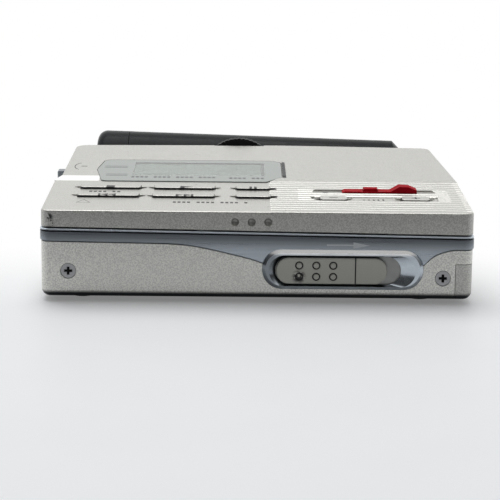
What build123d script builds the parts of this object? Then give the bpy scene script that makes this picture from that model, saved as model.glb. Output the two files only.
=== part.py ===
"""Portable minidisc recorder with an external battery case, in millimetres.

X points right, Y points back and Z points up. Each function below makes one physical piece, round the
middle of the body's footprint and with its feet at Z 0. The file's last lines move all pieces alike, so
that the origin is under the middle of the whole recorder with its battery case, and write one STEP file
for each piece.
"""
import os
from math import cos, pi, sin

from build123d import *

# ---- Body
WIDTH = 78.4                # across the front
DEPTH = 72.0                # front face to the furthest point of the rear edge
HEIGHT = 17.1               # feet to lid top
FRONT = -DEPTH / 2
REAR = DEPTH / 2
HALF = WIDTH / 2


def across(*places):
    """Places along X, given for a body 78.4 wide, that follow its width."""
    moved = tuple(place * WIDTH / 78.4 for place in places)
    return moved if len(moved) > 1 else moved[0]


def along(*places):
    """Places along Y, given for a body 72 deep, that follow its depth."""
    moved = tuple(place * DEPTH / 72.0 for place in places)
    return moved if len(moved) > 1 else moved[0]


def upward(*places):
    """Heights, given for a body 17.1 high, that follow its height."""
    moved = tuple(place * HEIGHT / 17.1 for place in places)
    return moved if len(moved) > 1 else moved[0]


def spots(*pairs):
    """Points in plan that follow the body's width and depth."""
    return tuple((across(x), along(y)) for x, y in pairs)


FOOT_HEIGHT = 0.8
WALL = 0.8                  # moulded walls
CLEAR = 0.1                 # sliding clearance
FIT = 0.05                  # clearance of a seated piece
SHEET = 0.3                 # pressed sheet metal
SEAM_Z = upward(10.6)       # lower case meets the mid frame, at the centre line
SEAM_GROOVE = (0.3, 0.45)   # height and depth of the groove along that seam
PARTING_Z = upward(13.1)    # mid frame meets the lid, at the centre line
PARTING_SLOPE = -0.0119     # fall of seam and parting line along X
PARTING_GAP = 0.32
MID_PROUD = 0.2             # the mid frame stands this much proud of both
MID_ROUND = 0.2             # its rounded upper edge
MID_LINE = (0.28, 0.58, 0.2)        # line round it under that edge: top, bottom and depth
CORNER_FRONT = 1.6
CORNER_REAR = 3.0
BOTTOM_ROUND = 1.5
WAIST_LEFT = 1.0            # the left side steps in by this much behind the key panel
WAIST_Y = along(-6.0)
TAPER_RIGHT = 2.2           # the right side runs in by this much towards the rear
REAR_BOW = 1.7              # the rear edge bows out by this much in its middle
REAR_BOW_X = across(6.0)

# ---- Disc space: a cartridge 72 wide, 68 deep and 5 high
CARTRIDGE_X = WIDTH - 6.4
CARTRIDGE_Y = DEPTH - 4.0
CARTRIDGE_Z = upward(5.0)
CARTRIDGE_FLOOR = upward(9.0)
CARTRIDGE_CENTRE_X = across(-0.5)

# ---- Lid
LID_SKIN = 1.05             # thickness of the lid's top at the rear
LID_WALL = 0.8
LID_EDGE_ROUND = 0.3
PANEL_STEP = 0.2            # the key panel lies this much below the rear of the lid
PANEL_BEVEL = along(-6.7, -3.9)     # the bevel between them, front and back
RIB_STEP = 0.15
RIB_X = across(2.4)         # the ribbed field starts here
RIB_PITCH = along(1.95)
RIB_DEPTH = 0.22
RIB_HALF = 0.42             # half the width of the groove between two ribs
RIB_COUNT = 15
RIB_FIRST_Y = along(-33.8)
LID_REAR_EDGE = HEIGHT - 2.65       # lower edge of the lid's rear wall
DIMPLE_R = 0.75
DIMPLE_X = across(-4.05, -1.05, 1.95)
DIMPLE_Z = upward(15.0)
DIMPLE_DEPTH = 0.3          # how far in front of the face the dimples' centres lie

# ---- Hinge of the lid and the disc holder
HINGE_Y = REAR - 2.0
HINGE_Z = HEIGHT - 2.1
HINGE_R = 0.75
HINGE_PIN_R = 0.4
HINGE_X = across(-18.0, 8.2)
POST_HALF = 1.0
POST_ROOM = 0.45            # room behind a hinge post for the opened lid's rear wall
LUG = 0.9
SIDE_GAP = 0.15
TURN_FIT = 0.03             # radial clearance of a turning pin

# ---- Keys of the lid
KEY_DEPTH = along(3.2)
KEY_CROWN = 0.45
KEY_FLANGE = 0.3
KEY_TRAVEL = 0.3
KEY_GAP = 0.12
KEY_COLUMNS = (across(-33.6, -22.0), across(-19.6, -7.9), across(-4.0, 2.6))
KEY_ROWS = along(-13.7, -21.9)
KEY_SCOOP_R = 3.0
VOLUME_COLUMNS = (across(11.7, 16.9), across(27.0, 32.3))
VOLUME_Y = along(-22.4)
VOLUME_DEPTH = along(3.6)
CHANNEL_DEPTH = 0.3
CHANNEL_X = across(10.6, 33.8)
CHANNEL_HALF = along(2.3)

# ---- Record slider
RECORD_X = across(16.2, 30.3)
RECORD_Y = along(-15.6)
RECORD_DEPTH = along(2.8)
RECORD_SLAB = 0.45
RECORD_HUMP = 1.45
RECORD_HUMP_X = across(25.3, 27.0, 28.8)
RECORD_TRAVEL = 2.6
RECORD_STEM_X = across(23.5, 26.5)
RECORD_STEM_DEPTH = 1.2
LOCK_X = across(20.2, 22.9)
LOCK_HEIGHT = 0.85
LOCK_DEPTH = 1.9
LOCK_TRAVEL = 0.2

# ---- Display
WINDOW = spots((-30.1, -7.1), (-31.75, 5.0), (-30.7, 16.4), (3.8, 16.4),
               (5.1, 14.4), (5.1, -2.4), (3.9, -3.8), (2.0, -7.1))
WINDOW_THICK = 0.6
WINDOW_LEDGE = 1.0
TRIM_WIDTH = 0.6
TRIM_Y = along(-2.3, 14.3)
TRIM_PROUD = 0.15
LCD_X = across(-27.0, 1.0)
LCD_Y = along(-5.0, 13.2)
LCD_THICK = 1.0

# ---- Open slider and its surround
BEZEL_X = across(0.95, 30.2)
BEZEL_Z = upward(2.75, 10.15)
BEZEL_R = upward(3.65)
BEZEL_PROUD = 0.5
BEZEL_SHOULDER = 0.6        # width of its outer slope
BEZEL_DEPTH = 1.1
BEZEL_SLOPE = (1.1, 2.6, 0.35)      # reach of the slope into the recess: left, right, and above and below
RECESS_X = across(3.3, 26.15)
RECESS_Z = upward(3.6, 8.7)
RECESS_R = upward(2.45)
RECESS_DEPTH = 0.7
KNOB_X = across(3.5, 23.6)
KNOB_TRAVEL = 2.4
KNOB_PROUD = 0.35
KNOB_SPLIT_X = across(17.87)
KNOB_DOTS_X = across(7.65, 10.75, 13.82)
KNOB_DOTS_Z = upward(7.16, 5.08)
KNOB_SPLIT = (0.13, 0.45)           # half width and depth of the groove across the knob
KNOB_DOT_R = 0.5
KNOB_DOT_PROUD = 0.15
KNOB_DOT_GROOVE = (0.27, 0.3)       # width and depth of the ring round each dot
STEM_X = across(10.0, 15.0)
STEM_Z = upward(5.6, 6.8)
HOOK_X = across(-6.4, -4.8)
HOOK_STEM_X = across(-4.8, -2.6)
HOOK_Z = upward(12.45, 12.85)
CATCH_STEM_X = across(-11.0, -8.6)
CATCH_FOOT_Z = upward(11.6, 12.3)

# ---- Battery compartment and door
CELL_X = across(67.0)
CELL_Y = along(17.0)
CELL_Z = upward(6.0)
CELL_START_X = across(-30.5)
CELL_CENTRE_Y = along(-23.8)
TRAY_WALL = 0.3
CELL_FLOOR = FOOT_HEIGHT + WALL + TRAY_WALL
DOOR_Z = upward(1.25, 7.45)
DOOR_FRONT_X = across(36.1)
DOOR_REAR_Y = along(-14.2)
DOOR_THICK = 1.0
DOOR_PIN_R = 0.25
DOOR_KNUCKLE_R = 0.55
DOOR_KNUCKLE_RISE = 1.0     # the knuckle starts this much above the door's lower edge
DOOR_RELIEF = 0.72          # room behind the knuckle for the opened door's edge
DOOR_BOSS = 0.9             # height of the boss that holds the pin

# ---- Side jacks
JACK_Z = upward(5.6)
JACK_BORE_R = 1.8
JACK_BODY_R = upward(2.45)
JACK_LENGTH = 10.5
LEFT_JACKS_Y = along(8.0, 16.5)
RIGHT_JACKS_Y = along(17.0, 26.0)
DC_PIN_R = 0.5

# ---- Drive
SPINDLE_R = 0.75
TURNTABLE_R = 5.5
TURNTABLE_THICK = 0.5
MOTOR_R = 9.0
MOTOR_BASE = upward(3.3)
CHASSIS_Z = upward(8.2)
CHASSIS_X = across(34.5)
CHASSIS_Y = along(-33.6, 32.6)
CHASSIS_POSTS = spots((-33.2, -30.4), (-33.2, 28.6), (31.5, 30.9), (33.4, -12.2))
POST_R = 1.4
POST_TOP = upward(6.2)
SLED_X = across(10.5, 18.5)
SLED_TRAVEL = 13.0
SLED_HALF_Y = along(9.0)
SLED_Z = upward(5.0, 7.9)
GUIDE_R = 0.75
GUIDE_Y = along(6.8)
GUIDE_Z = upward(6.4)
BRACKET_X = across(9.5, 32.4)
BRACKET_THICK = 0.8
BRACKET_HALF = 1.2
SCREW_R = 0.75
SCREW_Y = along(11.6)
SCREW_PITCH = 1.5
GEAR_X = across(8.2, 9.2)
GEAR_MODULE = 0.2
SCREW_TEETH = 16
PINION_TEETH = 10
PINION_SHAFT_R = 0.3
SLED_MOTOR_X = across(-3.0, 7.6)
SLED_MOTOR_R = upward(2.2)
LENS_R = 1.9
ARM_X = across(13.0, 16.0)
ARM_PIVOT_Y = REAR - 2.65
ARM_BASE_Z = upward(8.6, 8.85)
ARM_PIN_R = 0.15
HEAD_Y = along(-2.6, 2.6)
BOARD_Z = upward(2.1)
BOARD_THICK = 0.8
CHIP_THICK = 1.0
CHIPS = ((-20.0, 2.0, 9.0, 9.0), (-18.0, 22.0, 12.0, 7.0), (5.0, 25.0, 8.0, 6.0), (-20.0, -9.0, 6.0, 4.0))
KEY_BOARD_HALF = across(35.0)
RAIL_REAR_Y = REAR - 5.0
RAIL_WIDTH = 2.5
HOLDER_WINDOW = (across(-28.0, 6.0), along(-22.0, 24.0))

# ---- External battery case
AA_R = 7.25
AA_LENGTH = 50.5
AA_START = 9.0
AA_BUTTON_R = 2.7
CASE_AXIS_Y = REAR + 10.9
CASE_X = (across(-34.5), across(-34.5) + AA_LENGTH + 15.6)
CASE_R = (AA_R + 1.7, AA_R + 0.8)
CASE_FLOOR = 0.3
CASE_BORE_R = AA_R + 0.15
CASE_ENDS = (1.5, 2.0)      # thickness of the closed ends
CAP_LENGTH = 7.0
WHEEL_X = across(-3.4)
WHEEL_Z = upward(10.3)
WHEEL_R = upward(8.0)
WHEEL_Y = (REAR + 1.0, REAR + 2.6)
WHEEL_TEETH = 54
WHEEL_GROOVE_R = 0.22
WHEEL_RELIEF = 0.6
STUD_R = 1.0
RELIEF_DEPTH = 1.3
BRACKET_SPAN = across(-25.0, 24.0)
BRACKET_Z = (upward(2.5), WHEEL_Z + 1.9)
FLANGE_Y = (REAR + 0.15, REAR + 0.85)
PAD_X = across(13.0, 17.0, 21.0)
PAD_HALF = 1.2
PAD_Z = upward(3.5, 6.5)

# ---- Screws, feet and hold switch
SCREW_HEAD_R = 1.35
SCREW_SHANK_R = 0.6
CROSS_HALF = (0.75, 0.25, 0.4)      # half length, half width and depth of a cross recess
FRONT_SCREWS = ((across(-34.25), upward(5.7)), (across(33.8), upward(4.9)))
FOOT_R = 2.6
FEET = spots((-32.0, -29.5), (30.0, -29.5), (-31.0, 28.5), (30.0, 27.5))
BASE_SCREWS = spots((-33.5, -8.0), (32.5, 9.0), (-10.0, 30.0))
HOLD_Y = along(24.5)
HOLD_LENGTH = 2.6
HOLD_TRAVEL = 2.0
HOLD_Z = upward(12.35)
HOLD_HEIGHT = 2.0
HOLD_PROUD = 3.2
HOLD_STEM_Z = upward(12.0)

# ---- Levels worked out from the sizes above
CASE_FLOOR_TOP = FOOT_HEIGHT + WALL
LID_UNDER = HEIGHT - LID_SKIN
PANEL_TOP = HEIGHT - PANEL_STEP
RIB_TOP = HEIGHT - RIB_STEP
CHANNEL_FLOOR = RIB_TOP - CHANNEL_DEPTH
CARTRIDGE_FRONT = FRONT + WALL + 0.4
CARTRIDGE_REAR = CARTRIDGE_FRONT + CARTRIDGE_Y
CARTRIDGE_TOP = CARTRIDGE_FLOOR + CARTRIDGE_Z
HOLDER_TOP = CARTRIDGE_TOP + FIT + SHEET
ARM_Z = (HOLDER_TOP + 0.15, HOLDER_TOP + 0.4)
ARM_PIVOT_Z = ARM_Z[0] + 0.1
FLANGE_TOP = LID_UNDER - CLEAR
FLANGE_BOTTOM = FLANGE_TOP - KEY_FLANGE
DOME_TOP = FLANGE_BOTTOM - KEY_TRAVEL - FIT
KEY_BOARD_TOP = DOME_TOP - 0.15
KEY_BOARD_BOTTOM = KEY_BOARD_TOP - 0.35


# ---- Shapes that several pieces use
def block(x, y, z):
    """A box from three (low, high) pairs."""
    sizes = [high - low for low, high in (x, y, z)]
    centre = [(high + low) / 2 for low, high in (x, y, z)]
    return Pos(*centre) * Box(*sizes)


def pill(x, y, z, r):
    """A block with its four upright edges rounded."""
    face = Pos(sum(x) / 2, sum(y) / 2, z[0]) * RectangleRounded(x[1] - x[0], y[1] - y[0], r)
    return extrude(face, amount=z[1] - z[0])


def front_pill(x, y, z, r):
    """A block with its four edges along Y rounded."""
    plane = Plane(origin=(sum(x) / 2, y[0], sum(z) / 2), x_dir=(1, 0, 0), z_dir=(0, 1, 0))
    return extrude(plane * RectangleRounded(x[1] - x[0], z[1] - z[0], r), amount=y[1] - y[0])


def rod(r, start, end):
    """A cylinder between two points."""
    axis = Vector(*end) - Vector(*start)
    shape = Cylinder(r, axis.length, align=(Align.CENTER, Align.CENTER, Align.MIN))
    return Plane(origin=start, z_dir=axis) * shape


def prism_x(x, points):
    """A polygon of (y, z) points drawn out along X."""
    face = make_face(Polyline(*[(x[0], y, z) for y, z in points], close=True))
    return extrude(face, amount=x[1] - x[0], dir=(1, 0, 0))


def prism_y(y, points):
    """A polygon of (x, z) points drawn out along Y."""
    face = make_face(Polyline(*[(x, y[0], z) for x, z in points], close=True))
    return extrude(face, amount=y[1] - y[0], dir=(0, 1, 0))


def grown(pair, amount):
    """A (low, high) pair made longer by the same amount at each end."""
    return (pair[0] - amount, pair[1] + amount)


def around(middle, half):
    """A (low, high) pair round a middle."""
    return (middle - half, middle + half)


def rod_x(r, x, y, z):
    """A cylinder parallel to X, from its radius, x range and place."""
    return rod(r, (x[0], y, z), (x[1], y, z))


def rod_y(r, x, y, z):
    """A cylinder parallel to Y, from its radius, place and y range."""
    return rod(r, (x, y[0], z), (x, y[1], z))


def rod_z(r, x, y, z):
    """A cylinder parallel to Z, from its radius, place and z range."""
    return rod(r, (x, y, z[0]), (x, y, z[1]))


def slope(z, x):
    """Height of a sloping seam at x, from its height at the centre line."""
    return z + PARTING_SLOPE * x


def below(z):
    """Everything under a sloping seam."""
    reach = WIDTH
    points = [(-reach, -HEIGHT), (reach, -HEIGHT), (reach, slope(z, reach)), (-reach, slope(z, -reach))]
    return prism_y((-DEPTH, DEPTH), points)


def outline(inset, z):
    """The body's plan shape, drawn in by an inset, with its height range."""
    left = -HALF + WAIST_LEFT
    points = [(-HALF, FRONT), (HALF, FRONT), (HALF, WAIST_Y), (HALF - TAPER_RIGHT, REAR - REAR_BOW * 1.2),
              (REAR_BOW_X, REAR), (left + 0.2, REAR - REAR_BOW), (left, WAIST_Y + 4.5), (-HALF, WAIST_Y)]
    radii = [CORNER_FRONT, CORNER_FRONT, 30.0, CORNER_REAR * 0.7, 80.0, CORNER_REAR, 2.5, 2.5]
    face = make_face(FilletPolyline(*points, radius=radii, close=True))
    if inset:
        face = offset(face, amount=-inset, kind=Kind.INTERSECTION)
    return extrude(Pos(0, 0, z[0]) * face, amount=z[1] - z[0])


def seam_profile(shift):
    """Front view of everything under the curved seam of the front wall, moved up by a shift."""
    def height(x):
        return slope(SEAM_Z, x) + shift
    flat, bend, slant, low, high, crest, last_x = across(-18.0, -13.0, -8.0, -3.9, 31.9, 34.0, 36.5)
    edge = [(-WIDTH, height(-WIDTH)), (flat, height(flat)), (bend, height(bend) - 0.2)]
    dip = [(slant, height(0) - 0.9), (low, height(0) - 1.85), (BEZEL_X[0], height(0) - 3.25)]
    rise = [(BEZEL_X[1], height(0) - 3.5), (high, height(0) - 1.9), (crest, height(0) - 0.95)]
    end = [(last_x, height(last_x) - 0.12), (WIDTH, height(WIDTH))]
    left = Spline(*[(x, FRONT, z) for x, z in edge[1:] + dip], tangents=[(1, 0, PARTING_SLOPE), (1, 0, -0.4)])
    right = Spline(*[(x, FRONT, z) for x, z in rise + end[:1]], tangents=[(1, 0, 0.9), (1, 0, PARTING_SLOPE)])
    first = Polyline(*[(x, FRONT, z) for x, z in edge[:2]])
    bottom = [end[0], end[1], (WIDTH, -HEIGHT), (-WIDTH, -HEIGHT), edge[0]]
    middle = Polyline((dip[-1][0], FRONT, dip[-1][1]), (rise[0][0], FRONT, rise[0][1]))
    last = Polyline(*[(x, FRONT, z) for x, z in bottom])
    return make_face([first, left, middle, right, last])


def below_seam(shift=0.0):
    """Everything under the seam between the lower case and the mid frame."""
    front = extrude(Pos(0, -2, 0) * seam_profile(shift), amount=7, dir=(0, 1, 0))
    rest = block((-WIDTH, WIDTH), (FRONT + 5, DEPTH), (-HEIGHT, HEIGHT)) & below(SEAM_Z + shift)
    return front + rest


def hinge_ends(centre, half):
    """End points of a rod along the hinge axis."""
    return (centre - half, HINGE_Y, HINGE_Z), (centre + half, HINGE_Y, HINGE_Z)


def hinge_lug(x, top):
    """A rounded ear on the hinge axis that hangs from a height, with its pin bore."""
    round_end = rod_x(HINGE_R, x, HINGE_Y, HINGE_Z)
    stem = block(x, (HINGE_Y - HINGE_R, HINGE_Y + HINGE_R), (min(HINGE_Z, top), max(HINGE_Z, top)))
    bore = rod_x(HINGE_PIN_R + TURN_FIT, (x[0] - 1, x[1] + 1), HINGE_Y, HINGE_Z)
    return round_end + stem - bore


def lug_spans(centre):
    """The two lid lugs beside a hinge post."""
    near = POST_HALF + SIDE_GAP
    return (centre - near - LUG, centre - near), (centre + near, centre + near + LUG)


EAR_OFFSET = POST_HALF + SIDE_GAP + LUG + SIDE_GAP
PIN_HALF = EAR_OFFSET + SHEET + SIDE_GAP
BEZEL_CUT = (grown(BEZEL_X, FIT), (FRONT - 2, FRONT + BEZEL_DEPTH + FIT), grown(BEZEL_Z, FIT))
HOOK_Y = (FRONT + WALL + CLEAR, CARTRIDGE_FRONT - FIT)
CATCH_Y = HOOK_Y
CARRIER_Y = (FRONT + BEZEL_DEPTH + CLEAR, FRONT + BEZEL_DEPTH + CLEAR + 0.4)
WINDOW_FLOOR = HEIGHT - WINDOW_THICK
TRIM_X = (WINDOW[5][0] + 0.15, WINDOW[5][0] + 0.15 + TRIM_WIDTH)
PINION_Y = SCREW_Y + GEAR_MODULE * (SCREW_TEETH + PINION_TEETH) / 2 + FIT
DOOR_PIN_X = HALF - DOOR_KNUCKLE_R - FIT
DOOR_KNUCKLE_Z = (DOOR_Z[0] + DOOR_KNUCKLE_RISE, DOOR_Z[1])
INSERT_X = around(WHEEL_X, 2.8)
INSERT_Y = (REAR - 2.3, REAR - 0.5)
INSERT_Z = (WHEEL_Z - 2.0, WHEEL_Z + 2.0)
SPINDLE_X = CARTRIDGE_CENTRE_X
MOTOR_TOP = CHASSIS_Z - CLEAR
CELL_END_X = CELL_START_X + CELL_X
CELL_Y_RANGE = around(CELL_CENTRE_Y, CELL_Y / 2)
HOLD_SLOT_Y = (HOLD_Y - HOLD_LENGTH / 2 - CLEAR, HOLD_Y + HOLD_LENGTH / 2 + HOLD_TRAVEL + CLEAR)
STEM_SLOT = ((STEM_X[0] - CLEAR, STEM_X[1] + KNOB_TRAVEL + CLEAR), (FRONT, 0), grown(STEM_Z, CLEAR))
CASE_MID_Z = CASE_FLOOR + sum(CASE_R) / 2


# ---- Casing
def case_blank():
    """The lower case as a solid block with its rounded bottom edge."""
    blank = outline(0, (FOOT_HEIGHT, PARTING_Z))
    return fillet(blank.edges().group_by(Axis.Z)[0], BOTTOM_ROUND)


def door_region(gap):
    """Where the battery door sits, in front of its hinge and round the corner, with a gap all round."""
    z = grown(DOOR_Z, gap)
    side = block((HALF - DOOR_THICK - gap, HALF + 2), (FRONT - 2, DOOR_REAR_Y), z)
    corner = block((DOOR_FRONT_X - gap, HALF + 2), (FRONT - 2, FRONT + DOOR_THICK + gap), z)
    low, high = grown(DOOR_KNUCKLE_Z, gap)
    return side + corner + rod_z(DOOR_KNUCKLE_R + gap * 1.5, DOOR_PIN_X, DOOR_REAR_Y, (low, high))


def door_relief():
    """The room behind the knuckle that the door's rear edge swings through."""
    y = (DOOR_REAR_Y, DOOR_REAR_Y + DOOR_RELIEF)
    return block((DOOR_PIN_X, HALF + 1), y, grown(DOOR_Z, CLEAR))


def door_pin_shape(gap):
    """The door's hinge pin, from the case floor into the boss above the door."""
    foot = (DOOR_PIN_X, DOOR_REAR_Y, DOOR_KNUCKLE_Z[0] - 0.5)
    return rod(DOOR_PIN_R + gap, foot, (DOOR_PIN_X, DOOR_REAR_Y, DOOR_Z[1] + DOOR_BOSS))


def screw(x, y, z, direction, gap, length):
    """A pan-head screw whose head face is at a point and whose shank runs along a direction."""
    way = Vector(*direction)
    face = Vector(x, y, z)
    head_end = face + way * (0.5 + gap)
    head = rod(SCREW_HEAD_R + gap, tuple(face - way * (gap * 2)), tuple(head_end))
    return head + rod(SCREW_SHANK_R + gap / 2, tuple(face), tuple(face + way * length))


def cross_slot(x, y, z, direction):
    """The cross recess of a screw."""
    length, width, depth = CROSS_HALF
    if direction[1]:
        arms = block(around(x, length), (y - 1, y + depth), around(z, width))
        return arms + block(around(x, width), (y - 1, y + depth), around(z, length))
    arms = block(around(x, length), around(y, width), (z - 1, z + depth))
    return arms + block(around(x, width), around(y, length), (z - 1, z + depth))


def lower_case():
    """The tub that holds the drive, the board and the cell."""
    shell = (case_blank() & below_seam()) - outline(WALL, (CASE_FLOOR_TOP, HEIGHT))
    for x, z in FRONT_SCREWS:
        shell += rod_y(1.5, x, (FRONT + WALL / 2, FRONT + 3.3), z)
    for x, y in CHASSIS_POSTS:
        shell += rod_z(POST_R, x, y, (CASE_FLOOR_TOP - 0.1, POST_TOP))
    for x, y in BASE_SCREWS:
        shell += rod_z(1.7, x, y, (CASE_FLOOR_TOP - 0.1, 2.0))
    boss_z = (DOOR_Z[1] + 2 * CLEAR, DOOR_Z[1] + 2 * CLEAR + DOOR_BOSS)
    boss_x = (DOOR_PIN_X - 1.0, HALF - WALL / 2)
    shell += block(boss_x, around(DOOR_REAR_Y, 1.2), boss_z)
    shell -= door_region(CLEAR) + door_relief() + door_pin_shape(0.02)
    shell -= front_pill(*BEZEL_CUT, BEZEL_R)
    for x, z in FRONT_SCREWS:
        shell -= screw(x, FRONT + 0.1, z, (0, 1, 0), CLEAR, 4.0)
    for x, y in BASE_SCREWS:
        shell -= screw(x, y, FOOT_HEIGHT + 0.1, (0, 0, 1), FIT, 4.0)
    for x, y in FEET:
        shell -= rod_z(FOOT_R + FIT, x, y, (0, FOOT_HEIGHT + 0.3))
    for y in LEFT_JACKS_Y:
        shell -= rod_x(JACK_BODY_R + FIT, (-HALF - 1, -HALF + 4), y, JACK_Z)
    for y in RIGHT_JACKS_Y:
        shell -= rod_x(JACK_BODY_R + FIT, (HALF - 4, HALF + 1), y, JACK_Z)
    shell -= block(grown(INSERT_X, FIT), (INSERT_Y[0] - 1, REAR + 2), grown(INSERT_Z, FIT))
    for x in PAD_X:
        shell -= block(around(x, PAD_HALF + FIT), (REAR - 4, REAR + 2), grown(PAD_Z, FIT))
    return shell


def mid_frame():
    """The bright band between the lower case and the lid, with the hinge posts."""
    band = outline(-MID_PROUD, (FOOT_HEIGHT, HEIGHT)) & below(PARTING_Z)
    band = fillet(band.faces().sort_by(Axis.Z)[-1].edges(), MID_ROUND)
    groove = below_seam(SEAM_GROOVE[0]) - outline(SEAM_GROOVE[1], (0, HEIGHT))
    band -= outline(WALL, (0, HEIGHT + 1)) + below_seam(FIT)
    line = below(PARTING_Z - MID_LINE[0]) - below(PARTING_Z - MID_LINE[1])
    line -= outline(MID_LINE[2] - MID_PROUD, (-HEIGHT, 2 * HEIGHT))
    band -= groove + line
    for centre in HINGE_X:
        x = around(centre, POST_HALF)
        band += hinge_lug(x, PARTING_Z - 1.6)
        band += block(x, (HINGE_Y - HINGE_R, REAR - 0.9), (PARTING_Z - 1.6, PARTING_Z - 0.4))
    band -= front_pill(*BEZEL_CUT, BEZEL_R)
    band -= block(grown(INSERT_X, FIT), (INSERT_Y[0] - 1, REAR + 2), grown(INSERT_Z, FIT))
    band -= block((-HALF - 1, -HALF + WAIST_LEFT + 2), HOLD_SLOT_Y, around(HOLD_STEM_Z, 0.45))
    return band


def open_bezel():
    """The bright surround of the open slider, bevelled in towards the slider's recess."""
    y = (FRONT - BEZEL_PROUD, FRONT + BEZEL_DEPTH)
    ring = front_pill(BEZEL_X, y, BEZEL_Z, BEZEL_R - FIT)
    front = ring.faces().sort_by(Axis.Y)[0]
    ring = chamfer(front.edges(), BEZEL_SHOULDER, BEZEL_PROUD - 0.05, reference=front)
    mouth_x = (RECESS_X[0] - BEZEL_SLOPE[0], RECESS_X[1] + BEZEL_SLOPE[1])
    mouth_z = grown(RECESS_Z, BEZEL_SLOPE[2])
    mouth = front_pill(mouth_x, (y[0] - 0.2, y[0]), mouth_z, RECESS_R + BEZEL_SLOPE[2])
    waist = front_pill(RECESS_X, (FRONT + 0.3, FRONT + 0.5), RECESS_Z, RECESS_R)
    ring -= loft([mouth.faces().sort_by(Axis.Y)[-1], waist.faces().sort_by(Axis.Y)[0]])
    ring -= front_pill(RECESS_X, (FRONT + 0.3, FRONT + RECESS_DEPTH), RECESS_Z, RECESS_R)
    return ring - block(*STEM_SLOT)


def open_slider():
    """The sliding knob in the front recess, with its raised dots and its stem through the bezel."""
    z = grown(RECESS_Z, -0.12)
    knob = front_pill(KNOB_X, (FRONT - KNOB_PROUD, FRONT + RECESS_DEPTH - CLEAR), z, RECESS_R - 0.2)
    knob = fillet(knob.edges().group_by(Axis.Y)[0], 0.3)
    face_y = FRONT - KNOB_PROUD
    knob -= block(around(KNOB_SPLIT_X, KNOB_SPLIT[0]), (FRONT - 1, face_y + KNOB_SPLIT[1]), grown(z, 1))
    for x in KNOB_DOTS_X:
        for z in KNOB_DOTS_Z:
            dot = rod_y(KNOB_DOT_R, x, (face_y - KNOB_DOT_PROUD, FRONT + 0.1), z)
            groove = rod_y(KNOB_DOT_R + KNOB_DOT_GROOVE[0], x, (FRONT - 2, face_y + KNOB_DOT_GROOVE[1]), z)
            knob = knob - groove + fillet(dot.edges().group_by(Axis.Y)[0], 0.14)
    return knob + block(STEM_X, (FRONT, CARRIER_Y[0] + 0.05), STEM_Z)


def latch_carrier():
    """The sheet metal slide behind the bezel, with the hook that holds the lid's catch."""
    slot = (STEM_X[0] - FIT, STEM_X[1] + FIT)
    plate = block((HOOK_X[0], STEM_X[1] + 3), CARRIER_Y, (STEM_Z[0] - 1.4, CARTRIDGE_FLOOR - 0.5))
    plate -= block(slot, (FRONT, CARRIER_Y[0] + 0.05 + FIT), grown(STEM_Z, FIT))
    riser = block(HOOK_STEM_X, HOOK_Y, (STEM_Z[0] - 1.4, HOOK_Z[1]))
    joggle = block(HOOK_STEM_X, (HOOK_Y[0], CARRIER_Y[1]), (STEM_Z[0] - 1.4, CARTRIDGE_FLOOR - 0.5))
    return plate + riser + joggle + block(HOOK_X, HOOK_Y, HOOK_Z)


def latch_spring():
    """The return spring of the latch carrier, as a plain cylinder of its outer size."""
    y = sum(CARRIER_Y) / 2 - 0.1
    z = STEM_Z[0]
    return rod_x(0.5, (HOOK_X[0] - 9.0, HOOK_X[0] - FIT), y, z)


def lid_catch():
    """The sheet metal catch that hangs from the lid's front wall."""
    stem = block(CATCH_STEM_X, CATCH_Y, (CATCH_FOOT_Z[0], LID_UNDER))
    return stem + block((CATCH_STEM_X[0], HOOK_X[0] - CLEAR), CATCH_Y, CATCH_FOOT_Z)


def battery_door():
    """The door at the right front corner, with its hinge knuckle."""
    door = case_blank() & door_region(0)
    z = (DOOR_Z[0] - 1, DOOR_Z[1] + 1)
    low, high = DOOR_KNUCKLE_Z
    door += rod_z(DOOR_KNUCKLE_R, DOOR_PIN_X, DOOR_REAR_Y, (low, high))
    return door - rod_z(DOOR_PIN_R + TURN_FIT, DOOR_PIN_X, DOOR_REAR_Y, z)


def rubber_feet():
    """Four round feet set in the case floor."""
    feet = [rod_z(FOOT_R, x, y, (0, FOOT_HEIGHT + 0.3)) for x, y in FEET]
    return [fillet(foot.edges().group_by(Axis.Z)[0], 0.25) for foot in feet]


def case_screws():
    """The cross-head screws of the front face and of the underside."""
    front_y = FRONT + 0.1
    low_z = FOOT_HEIGHT + 0.1
    inward, upright = (0, 1, 0), (0, 0, 1)
    front = [screw(x, front_y, z, inward, 0, 3.0) - cross_slot(x, front_y, z, inward) for x, z in FRONT_SCREWS]
    base = [screw(x, y, low_z, upright, 0, 1.1) - cross_slot(x, y, low_z, upright) for x, y in BASE_SCREWS]
    return front + base


# ---- Lid
def lid_blank(top):
    """The lid as a solid block of a given height with its rounded top edge."""
    blank = outline(0, (PARTING_Z - 2, top))
    return fillet(blank.edges().group_by(Axis.Z)[-1], LID_EDGE_ROUND)


def window_shape(z, gap):
    """The display window's plan shape, drawn out between two heights and grown by a gap."""
    points = list(WINDOW)
    radii = [1.2, 12.0, 2.5, 2.0, 0.5, 0.5, 1.0, 0.8]
    face = make_face(FilletPolyline(*points, radius=radii, close=True))
    if gap:
        face = offset(face, amount=gap, kind=Kind.ARC)
    return extrude(Pos(0, 0, z[0]) * face, amount=z[1] - z[0])


def key_places():
    """Name, x range, y range and panel height of each key."""
    names = ("stop", "play", "pause", "back", "forward", "function")
    places = []
    for number, name in enumerate(names):
        x = KEY_COLUMNS[number % 3]
        y = KEY_ROWS[number // 3]
        places.append((name + "_key", x, around(y, KEY_DEPTH / 2), PANEL_TOP))
    for name, x in zip(("volume_down", "volume_up"), VOLUME_COLUMNS):
        places.append((name + "_key", x, around(VOLUME_Y, VOLUME_DEPTH / 2), CHANNEL_FLOOR))
    return places


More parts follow.
